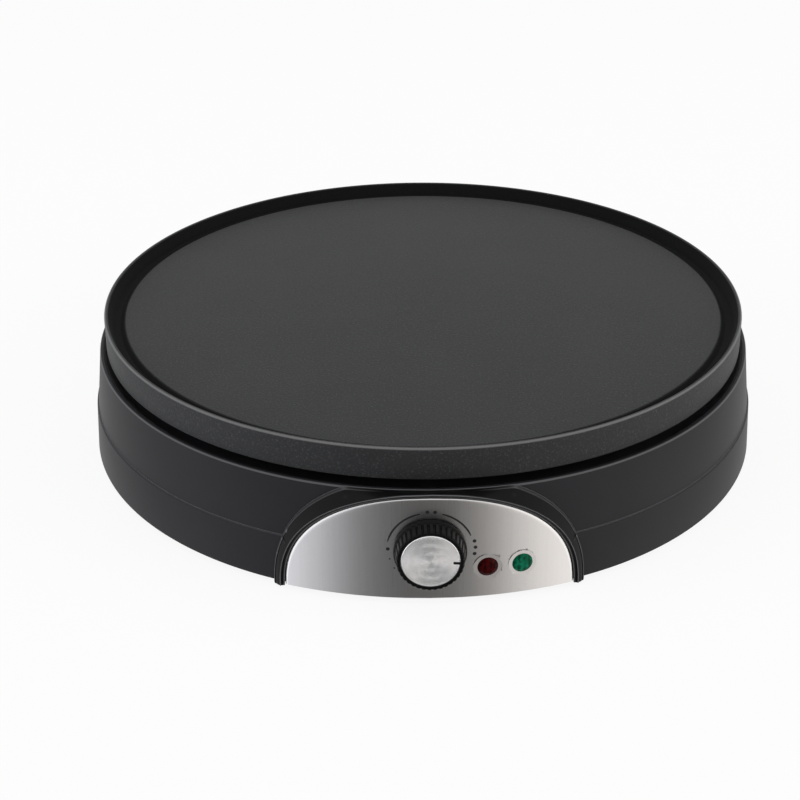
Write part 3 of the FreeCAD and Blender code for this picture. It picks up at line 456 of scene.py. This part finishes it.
def dull(name, colour, roughness=0.7, size=1.0, depth=0.1):
    """Rubber, ceramic and woven sleeve: a matt body with a small grain."""
    nodes, fill = material(name)
    grain = nodes.noise(size, detail=3.0)
    shade = nodes.blend(grain, shaded(colour, 0.8), shaded(colour, 1.15))
    return fill(Base_Color=shade, Roughness=roughness - 0.1 + grain * 0.2,
                Normal=nodes.bump(grain, 0.3, depth))


def lens_plastic(name, dark, bright, centre):
    """Coloured plastic over an unlit lamp: upright ribs moulded on its inside, and a centre painted
    brighter, a painted glow standing in for light that comes through from the lamp behind.
    """
    nodes, fill = material(name, Coat_Weight=0.03, Coat_Roughness=0.06,
                           Roughness=0.25, Specular_IOR_Level=0.05)
    away = nodes.away(centre)
    wave = nodes.node("ShaderNodeMath", {"operation": "SINE"}, {0: nodes.part(away, "X") * 2.6})
    ribs = wave * 0.5 + 0.5
    # Painted glow: the centre is made brighter in the colour, standing in for light that comes through from
    # the lamp behind
    painted_glow = nodes.stretch(nodes.length(away), 5.2, 0.6)
    cells = nodes.stretch(nodes.noise(1.6, detail=2.0), 0.45, 0.62)
    return fill(Base_Color=nodes.blend(ribs * 0.35 + painted_glow * 0.35 + cells * 0.4, dark, bright))


FINISH = {
    "cast_plate": cast_coating("non_stick_coat", (0.024, 0.0245, 0.0255)),
    # The housing's seam and top lip get painted highlights
    "housing_plastic": moulded_plastic(
        "housing_grey", (0.0155, 0.0153, 0.0172), 0.48, specular=0.13,
        painted_lip_bands=((SEAM_Z / MM + 0.02, SEAM_Z / MM + 0.5), (HOUSING_TOP / MM - 0.85, HOUSING_TOP / MM - 0.15))),
    # The bezel's edges get a painted highlight
    "bezel_plastic": moulded_plastic("bezel_black", (0.004, 0.004, 0.0045), 0.36, painted_edge_light=0.7, specular=0.1),
    "steel_panel": brushed_steel("upright_brushed_steel"),
    "knob_plastic": moulded_plastic("knob_black", (0.003, 0.003, 0.003), 0.34, depth=0.01, specular=0.12),
    "knob_aluminium": spun_aluminium("spun_face", (INSERT_LOW + INSERT_HIGH) / 2),
    "red_lens": lens_plastic("red_clear", (0.007, 0.0002, 0.0003), (0.06, 0.001, 0.0015),
                             (RED_LOW + RED_HIGH) / 2),
    "green_lens": lens_plastic("green_clear", (0.0, 0.032, 0.013), (0.003, 0.19, 0.10),
                               (GREEN_LOW + GREEN_HIGH) / 2),
    "lamp_glass": dull("lamp_glass_grey", (0.6, 0.6, 0.58), 0.2, 2.0, 0.01),
    "element_steel": metal("oxidised_sheath", (0.22, 0.20, 0.19), 0.5),
    "zinc_steel": metal("zinc_plate", (0.62, 0.62, 0.60), 0.38),
    "bright_aluminium": metal("reflector_sheet_metal", (0.78, 0.78, 0.78), 0.25, 8.0),
    "ceramic": dull("unglazed_ceramic", (0.72, 0.69, 0.63)),
    "brass": metal("plain_brass", (0.62, 0.47, 0.20), 0.32),
    "rubber": dull("foot_rubber", (0.018, 0.018, 0.018), 0.75, 0.6),
    "wire_sleeve": dull("woven_sleeve", (0.55, 0.54, 0.50), 0.8, 0.5, 0.2),
    "block_plastic": moulded_plastic("block_natural", (0.55, 0.54, 0.50), 0.5),
}
PRINT_INK = dull("dial_ink", (0.008, 0.008, 0.008), 0.5, 0.3, 0.01)

for entry in frame["record"]["subparts"]:
    node = frame["nodes"][entry["node"]]
    node.data.materials.clear()
    node.data.materials.append(FINISH[entry["material_slot"]])
    smoothed(node.data, 30)


# The plate and the housing

def cooking_plate():
    """The casting: a flat disc, a groove round it, a thin raised rim and a skirt."""
    rim_inner = RIM_RADIUS - 1.9 * MM
    groove_outer = rim_inner - 2.3 * MM
    groove_inner = groove_outer - 3.7 * MM
    disc_edge = groove_inner - 2.3 * MM
    disc_top = RIM_TOP - 4.8 * MM
    groove_floor = disc_top - 2.0 * MM
    under = disc_top - 6.5 * MM
    skirt_bottom = RIM_TOP - 15.6 * MM
    skirt_inner = RIM_RADIUS - 3.1 * MM
    lathe("plate_casting", [
        (0, disc_top, 0), (disc_edge, disc_top, 1.2 * MM),
        (groove_inner, groove_floor, 0.8 * MM), (groove_outer, groove_floor, 0.8 * MM),
        (rim_inner, RIM_TOP - 0.2 * MM, 0.7 * MM), (RIM_RADIUS, RIM_TOP, 0.9 * MM),
        (RIM_RADIUS, skirt_bottom, 0.6 * MM), (skirt_inner, skirt_bottom, 0.3 * MM),
        (skirt_inner, under, 0), (0, under, 0),
    ], "cast_plate", segments=360, replaces=["cooking_plate"])


def housing_shells():
    """The upper shell, with a shelf under the plate and a tongue in the seam, and the lower shell."""
    shelf_outer = 156.7 * MM
    shelf_inner = 118.0 * MM
    base_inner = 138.0 * MM
    tongue_bottom = SEAM_Z - 4.0 * MM
    lathe("upper_shell", [
        (UPPER_SEAM_RADIUS - 2.0 * MM, tongue_bottom, 0),
        (UPPER_SEAM_RADIUS - 2.0 * MM, SEAM_Z, 0),
        (UPPER_SEAM_RADIUS, SEAM_Z, 0.35 * MM),
        (TOP_RADIUS, HOUSING_TOP, 0.8 * MM),
        (TOP_RADIUS - 1.8 * MM, HOUSING_TOP, 0.6 * MM),
        (TOP_RADIUS - 5.0 * MM, HOUSING_TOP - 3.0 * MM, 0.4 * MM),
        (shelf_outer, SHELF_TOP, 0.4 * MM),
        (shelf_inner, SHELF_TOP, 0.3 * MM),
        (shelf_inner, SHELF_TOP - WALL, 0.3 * MM),
        (TOP_RADIUS - 2.2 * MM, SHELF_TOP - WALL, 0),
        (UPPER_SEAM_RADIUS - 4.8 * MM, tongue_bottom, 0),
    ], "housing_plastic", segments=360, replaces=["upper_housing"])
    lathe("lower_shell", [
        (base_inner, HOUSING_BOTTOM, 0.5 * MM),
        (BOTTOM_RADIUS, HOUSING_BOTTOM, 0.8 * MM),
        (SEAM_RADIUS, SEAM_Z, 0.45 * MM),
        (SEAM_RADIUS - WALL, SEAM_Z, 0),
        (BOTTOM_RADIUS - WALL, HOUSING_BOTTOM + WALL, 0),
        (base_inner, HOUSING_BOTTOM + WALL, 0.3 * MM),
    ], "housing_plastic", segments=360, replaces=["lower_housing"])


# The control panel

def sheet_of_columns(columns, thickness):
    """A closed sheet from columns of (across, up, proud); its back lies a thickness behind the panel."""
    rows = len(columns[0])
    count = len(columns)
    front = [panel_point(*spot) for column in columns for spot in column]
    back = [panel_point(across, up, -thickness) for column in columns for across, up, proud in column]
    size = len(front)
    faces = []
    for index in range(count - 1):
        for row in range(rows - 1):
            a = index * rows + row
            b = a + rows
            faces.append((a, b, b + 1, a + 1))
            faces.append((size + a, size + a + 1, size + b + 1, size + b))
        for edge in (0, rows - 1):
            a = index * rows + edge
            b = a + rows
            faces.append((a, b, size + b, size + a))
    for index in (0, count - 1):
        for row in range(rows - 1):
            a = index * rows + row
            faces.append((a, a + 1, size + a + 1, size + a))
    return front + back, faces


def countersink(name, offset):
    """A cutter that leaves a hole for a lens, with a dished edge."""
    segments = 96
    dish_depth = 0.75 * MM
    hole_radius = LENS_RADIUS + 0.06 * MM
    dish_radius = LENS_RADIUS + 1.25 * MM
    levels = [
        (-3 * MM, hole_radius), (-dish_depth, hole_radius), (-dish_depth * 0.45, hole_radius + 0.35 * MM),
        (0.0, dish_radius - 0.12 * MM), (0.4 * MM, dish_radius + 0.2 * MM)]
    turn = panel_turn(offset, LENS_Z)
    verts = [spot for up, radius in levels for spot in circle(turn, radius, up, segments)]
    faces = stacked_faces(len(levels), segments)
    faces.append(tuple(range(segments))[::-1])
    faces.append(tuple(range((len(levels) - 1) * segments, len(levels) * segments)))
    return linked(name, mesh_of(name, verts, faces))


def steel_panel():
    """The arched steel sheet, its edge rolled back and two dished holes punched in it."""
    edge = 1.15 * MM
    drop = 0.72 * MM
    rows = 26
    edge_steps = 5
    columns = []
    for lean in leans():
        across, up = arch(PANEL_HALF, PANEL_RISE, lean)
        in_across, in_up = arch(PANEL_HALF - edge, PANEL_RISE - edge, lean)
        column = [(in_across, PANEL_FOOT + in_up * row / rows, 0.0) for row in range(rows + 1)]
        for step in range(1, edge_steps + 1):
            roll = step / edge_steps * math.pi / 2
            run = math.sin(roll)
            column.append((in_across + (across - in_across) * run,
                           PANEL_FOOT + in_up + (up - in_up) * run,
                           -drop * (1 - math.cos(roll))))
        columns.append(column)
    verts, faces = sheet_of_columns(columns, PANEL_SHEET)
    panel = piece("steel_fascia", verts, faces, "steel_panel", replaces=["fascia_panel"], sharp=40)
    for name, offset in (("red_cutter", RED_OFFSET), ("green_cutter", GREEN_OFFSET)):
        carved(panel, countersink(name, offset))
    smoothed(panel.data, 28)


# The bezel's section: shares of the way from its inner edge to its crest, with how far each is
# proud of the panel, and shares of the way from there to the housing, with how far each swells out
BEZEL_INNER = [
    (0.35, 0.0), (0.62, 0.34), (0.74, 0.46), (0.80, 0.74), (0.87, 0.92),
    (0.94, 0.96), (1.0, 0.84), (1.06, 0.52)]
BEZEL_OUTER = [
    (0.12, 0.10), (0.3, 0.30), (0.5, 0.38), (0.68, 0.28), (0.76, 0.16), (0.81, 0.30), (0.86, 0.56),
    (0.91, 0.68), (0.96, 0.60), (1.0, 0.36)]


def bezel_section(lean):
    """The closed section of the black frame at a point of the arch."""
    groove = 0.35 * MM
    crest_out = 2.6 * MM
    crest_up = 2.1 * MM
    outer_out = 5.3 * MM
    outer_up = BEZEL_HIGH.z - PANEL_FOOT - PANEL_RISE + 6.2 * MM
    inner = arch(PANEL_HALF + groove, PANEL_RISE + groove, lean)
    crest = arch(PANEL_HALF + crest_out, PANEL_RISE + crest_up, lean)
    outer = arch(PANEL_HALF + outer_out, PANEL_RISE + outer_up, lean)
    spots = [panel_point(inner[0], PANEL_FOOT + inner[1], sunk * MM) for sunk in (-2.6, -0.5, -0.25)]
    for part, proud in BEZEL_INNER:
        across = inner[0] + (crest[0] - inner[0]) * part
        up = inner[1] + (crest[1] - inner[1]) * part
        spots.append(panel_point(across, PANEL_FOOT + up, proud * MM))
    top = spots[-1]
    outer_z = min(PANEL_FOOT + outer[1], HOUSING_TOP)
    wall_y = -math.sqrt(housing_radius(outer_z) ** 2 - outer[0] ** 2)
    seat = Vector((outer[0], wall_y + 0.4 * MM, outer_z))
    lip = Vector((outer[0], wall_y - 0.55 * MM, outer_z))
    for part, swell in BEZEL_OUTER:
        spot = top.lerp(lip, part)
        spot.y -= swell * MM
        spots.append(spot)
    return spots + [lip.lerp(seat, 0.3), seat]


def bezel_leg(section, rise, shrink):
    """A section set level at a height over the bezel's foot, and drawn in a little for a softened end."""
    level = BEZEL_LOW.z + rise * MM
    leg = [spot - Vector((0, 0, spot.z - level)) for spot in section]
    middle = sum(leg, Vector()) / len(leg)
    return [spot.lerp(Vector((middle.x, middle.y, spot.z)), shrink) for spot in leg]


def bezel():
    """The black frame: an inner bevel, a crest, an outer face that falls to the housing, and two legs."""
    sections = [bezel_section(lean) for lean in leans()]
    legs = ((0, 0.12), (0.25, 0.04), (0.7, 0.0))
    left = [bezel_leg(sections[0], rise, shrink) for rise, shrink in legs]
    right = [bezel_leg(sections[-1], rise, shrink) for rise, shrink in legs[::-1]]
    sections = left + sections + right
    rows = len(sections[0])
    ends = (len(sections) - 1) * rows
    faces = []
    for start in range(0, ends, rows):
        for row in range(rows):
            a = start + row
            b = start + (row + 1) % rows
            faces.append((a, b, b + rows, a + rows))
    faces.append(tuple(range(rows)))
    faces.append(tuple(range(ends, ends + rows))[::-1])
    piece("arched_bezel", [spot for section in sections for spot in section], faces, "bezel_plastic",
          replaces=["front_bezel"], sharp=40)


# How far the print stands on the panel, and how far it is let into it
INK_RISE = 0.04 * MM
INK_SINK = 0.02 * MM


def ink_strip(name, spots, width):
    """A printed stroke on the panel through a run of (across, up) points, thinner at its ends."""
    verts = []
    count = len(spots)
    for index, spot in enumerate(spots):
        before = Vector(spots[max(index - 1, 0)])
        after = Vector(spots[min(index + 1, count - 1)])
        along = (after - before).normalized()
        aside = Vector((-along.y, along.x)) * width / 2
        taper = min(1.0, 0.55 + 3.0 * min(index, count - 1 - index) / count)
        for side in (-1, 1):
            edge = Vector(spot) + aside * side * taper
            verts += [panel_point(edge.x, edge.y, INK_RISE), panel_point(edge.x, edge.y, -INK_SINK)]
    faces = []
    for a in range(0, 4 * (count - 1), 4):
        b = a + 4
        faces += [(a, a + 2, b + 2, b), (a + 1, b + 1, b + 3, a + 3)]
        faces += [(a, b, b + 1, a + 1), (a + 2, a + 3, b + 3, b + 2)]
    last = 4 * (count - 1)
    faces += [(0, 1, 3, 2), (last, last + 2, last + 3, last + 1)]
    piece(name, verts, faces, "knob_plastic", look=PRINT_INK)


def dial_point(angle, radius):
    """A point of the dial, its angle in degrees from three o'clock, turning anticlockwise."""
    return radius * math.cos(math.radians(angle)), KNOB_Z + radius * math.sin(math.radians(angle))


def ink_dot(name, angle, radius, size):
    across, up = dial_point(angle, radius)
    turn = panel_turn(math.asin(across / PANEL_CURVE) * PANEL_CURVE, up)
    top = 0.05 * MM
    lathe(name, [(0, -INK_SINK, 0), (size, -INK_SINK, 0), (size, top, 0.02 * MM), (0, top, 0)],
          "knob_plastic", segments=32, turn=turn, look=PRINT_INK)


# The dial's dots: angle in degrees, then the distance from its middle and the size in millimetres
DIAL_DOTS = {
    "dial_low": (179, 18.5, 0.85),
    "dial_low_tick": (195, 18.3, 0.38),
    "dial_low_end": (211, 18.3, 0.38),
    "dial_mid_left": (93.5, 19.5, 0.82),
    "dial_mid_right": (83.8, 19.5, 0.82),
    "dial_high_top": (11.5, 19.8, 0.85),
    "dial_high_middle": (2.0, 19.9, 0.85),
    "dial_high_bottom": (352.5, 19.7, 0.85),
}
DIAL_SWEEPS = {"dial_sweep_low": (167.5, 103.5), "dial_sweep_high": (74.0, 21.0)}
DIAL_RADIUS = 19.0 * MM
SWEEP_WIDTH = 0.85 * MM
SWEEP_STEPS = 32


def dial_print():
    for name, (angle, radius, size) in DIAL_DOTS.items():
        ink_dot(name, angle, radius * MM, size * MM)
    for name, (start, finish) in DIAL_SWEEPS.items():
        angles = [start + (finish - start) * step / SWEEP_STEPS for step in range(SWEEP_STEPS + 1)]
        ink_strip(name, [dial_point(angle, DIAL_RADIUS) for angle in angles], SWEEP_WIDTH)


def lenses():
    """The two lens caps: a low crown over the panel, a barrel through it and a flange behind."""
    flange_top = -3.15 * MM
    flange_bottom = -4.5 * MM
    flange_radius = LENS_RADIUS + 1.3 * MM
    caps = [("red_cap", RED_OFFSET, "red_lens"), ("green_cap", GREEN_OFFSET, "green_lens")]
    for name, offset, slot in caps:
        lathe(name, [
            (0, 1.35 * MM, 0), (LENS_RADIUS - 1.7 * MM, 1.15 * MM, 0.8 * MM),
            (LENS_RADIUS - 0.25 * MM, 0.55 * MM, 0.5 * MM), (LENS_RADIUS, -0.3 * MM, 0.2 * MM),
            (LENS_RADIUS, flange_top, 0), (flange_radius, flange_top, 0.2 * MM),
            (flange_radius, flange_bottom, 0.2 * MM), (0, flange_bottom, 0),
        ], slot, segments=96, turn=panel_turn(offset, LENS_Z), replaces=[slot])


# The knob

KNOB_SEAT = Matrix.Translation((0, -PANEL_FRONT, KNOB_Z)) @ Matrix.Rotation(math.pi / 2, 4, "X")
RIB_COUNT = 36

# How deep the grip is cut at each step round one rib, as a share of the flute's depth
RIB_STEPS = [0.0, 0.0, 0.25, 0.85, 1.0, 1.0, 0.85, 0.25, 0.0, 0.0, 0.0, 0.0, 0.0, 0.0]
FLUTE_DEPTH = 0.75

# The shell's section: radius and height over the panel in millimetres, and 1 where it is ribbed
KNOB_SECTION = [
    (12.2, 0.8, 0), (15.9, 0.8, 0), (16.2, 1.05, 0), (16.2, 1.75, 0), (15.95, 2.1, 0), (15.5, 2.3, 0),
    (15.45, 2.9, 1), (15.3, 4.6, 1), (15.15, 6.3, 1), (15.0, 8.0, 1), (14.93, 8.7, 1), (14.75, 9.15, 1),
    (14.45, 9.36, 1), (14.2, 9.4, 0), (13.3, 9.4, 0), (13.12, 9.3, 0), (13.1, 8.7, 0), (13.1, 8.62, 0),
    (0, 8.62, 0), (0, 5.8, 0), (11.9, 5.8, 0), (12.1, 5.6, 0),
]


def knob():
    """The shell: a smooth collar, a ribbed grip and a thin ring round the sunk face."""
    segments = RIB_COUNT * len(RIB_STEPS)
    verts = []
    for step in range(segments):
        angle = 2 * math.pi * step / segments
        flute = FLUTE_DEPTH * RIB_STEPS[step % len(RIB_STEPS)]
        for radius, up, ribbed in KNOB_SECTION:
            reach = (radius - flute * ribbed) * MM
            verts.append(KNOB_SEAT @ Vector((reach * math.cos(angle), reach * math.sin(angle), up * MM)))
    piece("ribbed_knob", verts, turned_faces(segments, len(KNOB_SECTION)), "knob_plastic", body="knob",
          replaces=["knob_shell"], sharp=38)


# The aluminium disc: heights over the panel and its radius, in millimetres
FACE_UP = 9.36
FACE_BACK = 8.66
FACE_RADIUS = 12.98


def pointer_cutter():
    """A block that cuts the pointer notch into the face's edge, near three o'clock."""
    reach = 3.0 * MM
    width = 1.3 * MM
    depth = 4.0 * MM
    past = 1.0 * MM
    dip = math.radians(-4)
    middle = (FACE_RADIUS * MM - reach / 2 + past, 0, 9.0 * MM)
    shape = KNOB_SEAT @ Matrix.Rotation(dip, 4, "Z") @ Matrix.Translation(middle)
    shape = shape @ Matrix.Diagonal((reach + 2 * past, width, depth, 1))
    form = bmesh.new()
    bmesh.ops.create_cube(form, size=1.0)
    bmesh.ops.transform(form, matrix=shape, verts=form.verts)
    mesh = bpy.data.meshes.new("notch_cutter")
    form.to_mesh(mesh)
    form.free()
    return linked("notch_cutter", mesh)


def knob_face():
    """The aluminium disc: fine turned rings of uneven depth, a bevelled edge and the pointer notch."""
    segments = 240
    count = 108
    turned_radius = 12.6
    deepest = 0.042
    rings = []
    for ring in range(count + 1):
        uneven = 0.45 + 0.55 * math.sin(ring * 2.4) ** 2
        rings.append((turned_radius * ring / count, -deepest * (ring % 2) * uneven))
    rings += [(12.72, 0.0), (FACE_RADIUS, -0.22), (FACE_RADIUS, FACE_BACK - FACE_UP)]
    verts = []
    for radius, height in rings:
        verts += circle(KNOB_SEAT, radius * MM, (FACE_UP + height) * MM, segments)
    under = (len(rings) - 1) * segments
    verts.append(KNOB_SEAT @ Vector((0, 0, FACE_BACK * MM)))
    faces = stacked_faces(len(rings), segments)
    for step in range(segments):
        faces.append((under + step, under + (step + 1) % segments, len(verts) - 1))
    disc = piece("spun_disc", verts, faces, "knob_aluminium", body="knob",
                 replaces=["knob_insert"], sharp=40)
    carved(disc, pointer_cutter())
    smoothed(disc.data, 6)


# The cord gland

def gland():
    """The rubber gland in the back wall: a flange inside, a groove for the wall, a collar and a sleeve."""
    inside = -5.0 * MM
    wall = GLAND_LOW.y - inside
    length = GLAND_HIGH.y - wall
    bore = 3.5 * MM
    flange = 7.5 * MM
    neck = 6.0 * MM
    collar = 8.5 * MM
    middle = (0, wall, (GLAND_LOW.z + GLAND_HIGH.z) / 2)
    turn = Matrix.Translation(middle) @ Matrix.Rotation(-math.pi / 2, 4, "X")
    lathe("cord_entry", [
        (bore, inside, 0.3 * MM), (flange, inside, 0.3 * MM), (flange, -3.2 * MM, 0.3 * MM),
        (neck, -3.2 * MM, 0), (neck, 0.6 * MM, 0), (collar, 0.6 * MM, 0.4 * MM),
        (collar, 2.4 * MM, 0.8 * MM), (neck, 3.4 * MM, 0.6 * MM), (5.0 * MM, length, 0.6 * MM),
        (bore, length, 0.5 * MM),
    ], "rubber", segments=96, turn=turn, replaces=["cord_gland"])


# Camera, floor and light

def camera():
    """The photograph's view, fitted to the rims: it stands a little left of the front."""
    stand = Vector((-0.0169, -0.8310, 0.4496))
    heading = math.radians(0.36)
    down = math.radians(27.70)
    roll = math.radians(-0.352)
    data = bpy.data.cameras.new("view")
    data.sensor_width = 36.0
    data.lens = 80.55
    data.clip_start = 0.01
    data.clip_end = 100
    made = linked("view", data)
    turn = Matrix.Rotation(-heading, 4, "Z") @ Matrix.Rotation(math.pi / 2 - down, 4, "X")
    made.matrix_world = Matrix.Translation(stand) @ turn @ Matrix.Rotation(roll, 4, "Z")
    bpy.context.scene.camera = made


def background_seen(nodes):
    """1 for a ray that shows the background: from the camera, by reflection or through a clear body."""
    kinds = ("Is Camera Ray", "Is Glossy Ray", "Is Transmission Ray")
    camera_ray, glossy_ray, lens_ray = [nodes.node("ShaderNodeLightPath", out=kind) for kind in kinds]
    shown = camera_ray + glossy_ray + lens_ray
    return nodes.node("ShaderNodeMath", {"operation": "MINIMUM"}, {0: shown, 1: 1.0})


def floor():
    """A pale floor that shows white to the camera, with a soft contact shadow; no reflection shows it."""
    size = 30.0
    corners = [(-size, -size, 0), (size, -size, 0), (size, size, 0), (-size, size, 0)]
    made = linked("floor", mesh_of("floor", corners, [(0, 1, 2, 3)]))
    look, nodes = node_material("floor_paper")
    paper = nodes.node("ShaderNodeBsdfDiffuse", {}, {"Color": (0.8, 0.8, 0.8, 1)})
    glow = nodes.node("ShaderNodeEmission", {}, {"Color": (1, 1, 1, 1), "Strength": 1.0})
    mixed = nodes.node("ShaderNodeMixShader", {}, {0: background_seen(nodes) * 0.9, 1: paper, 2: glow})
    nodes.node("ShaderNodeOutputMaterial", {}, {"Surface": mixed})
    made.data.materials.append(look)
    made.visible_glossy = False


# The light's colour from the left side of the set (0) over its middle (0.5) to its right side (1)
SIDE_LIGHT = [
    (0.0, (1.0, 1.0, 1.0)), (0.12, (0.94, 0.95, 1.0)), (0.20, (0.69, 0.69, 0.73)),
    (0.275, (0.40, 0.40, 0.415)), (0.33, (0.15, 0.15, 0.154)), (0.45, (0.06, 0.059, 0.058)),
    (0.525, (0.08, 0.078, 0.076)), (0.60, (0.11, 0.106, 0.103)), (0.66, (0.27, 0.26, 0.252)),
    (0.71, (0.56, 0.538, 0.52)), (0.80, (0.84, 0.806, 0.78)), (0.92, (1.0, 0.98, 0.96)),
]
SIDE_LEVEL = 1.5


def graded(nodes, way):
    """The side light's colour in a direction."""
    across = nodes.part(way, "X") * 0.5 + 0.5
    band = nodes.node("ShaderNodeValToRGB", {"stops": SIDE_LIGHT}, {"Fac": across})
    return nodes.vector("MULTIPLY", band, (SIDE_LEVEL, SIDE_LEVEL, SIDE_LEVEL))


def graded_card():
    """A card bent round the front of the set, seen only in reflections: light at its sides, dark ahead."""
    radius = 3.0
    bottom = -4.0
    top = 0.9
    steps = 96
    verts = []
    for step in range(steps + 1):
        angle = math.pi * (1 + step / steps)
        verts += [(radius * math.cos(angle), radius * math.sin(angle), up) for up in (bottom, top)]
    faces = [(2 * step, 2 * step + 2, 2 * step + 3, 2 * step + 1) for step in range(steps)]
    made = linked("graded_card", mesh_of("graded_card", verts, faces))
    look, nodes = node_material("graded_card_paper")
    way = nodes.vector("NORMALIZE", nodes.place())
    paper = nodes.node("ShaderNodeEmission", {}, {"Color": graded(nodes, way), "Strength": 1.0})
    nodes.node("ShaderNodeOutputMaterial", {}, {"Surface": paper})
    made.data.materials.append(look)
    made.visible_camera = False
    made.visible_diffuse = False
    made.visible_transmission = False
    made.visible_shadow = False


def surroundings():
    """White to the camera and in reflections; as soft light, bright at both sides and dimmer elsewhere."""
    world = bpy.data.worlds.new("studio")
    bpy.context.scene.world = world
    world.use_nodes = True
    nodes = Nodes(world.node_tree)
    way = nodes.node("ShaderNodeTexCoord", out="Generated")
    behind = nodes.stretch(nodes.part(way, "Y"), -0.05, 0.5)
    above = nodes.stretch(nodes.part(way, "Z"), 0.3, 0.8)
    round_about = nodes.blend(behind * 0.85, graded(nodes, way), (0.06, 0.06, 0.062))
    room = nodes.blend(above, round_about, (0.65, 0.65, 0.66))
    colour = nodes.blend(background_seen(nodes), room, (1.0, 1.0, 1.0))
    background = nodes.node("ShaderNodeBackground", {}, {"Color": colour, "Strength": 1.0})
    nodes.node("ShaderNodeOutputWorld", {}, {"Surface": background})


def softbox(name, place, target, size, power, colour):
    """A rectangular lamp at a place, turned to a target; no reflection shows it."""
    data = bpy.data.lights.new(name, "AREA")
    data.shape = "RECTANGLE"
    data.size, data.size_y = size
    data.energy = power
    data.color = colour
    made = linked(name, data)
    made.location = place
    made.rotation_mode = "QUATERNION"
    made.rotation_quaternion = (Vector(target) - Vector(place)).to_track_quat("-Z", "Y")
    made.visible_glossy = False


def lights():
    softbox("left_box", (-1.5, -0.5, 0.7), (0, 0, 0.03), (1.0, 1.2), 9, (0.93, 0.96, 1.0))
    softbox("right_box", (1.5, -0.5, 0.7), (0, 0, 0.03), (1.0, 1.2), 10, (1.0, 0.96, 0.92))
    softbox("top_box", (0, 0.3, 1.8), (0, 0, 0.05), (1.6, 1.2), 5, (1.0, 1.0, 1.0))


cooking_plate()
housing_shells()
steel_panel()
bezel()
dial_print()
lenses()
knob()
knob_face()
gland()
camera()
floor()
graded_card()
surroundings()
lights()
bpy.context.scene.view_settings.view_transform = "Standard"
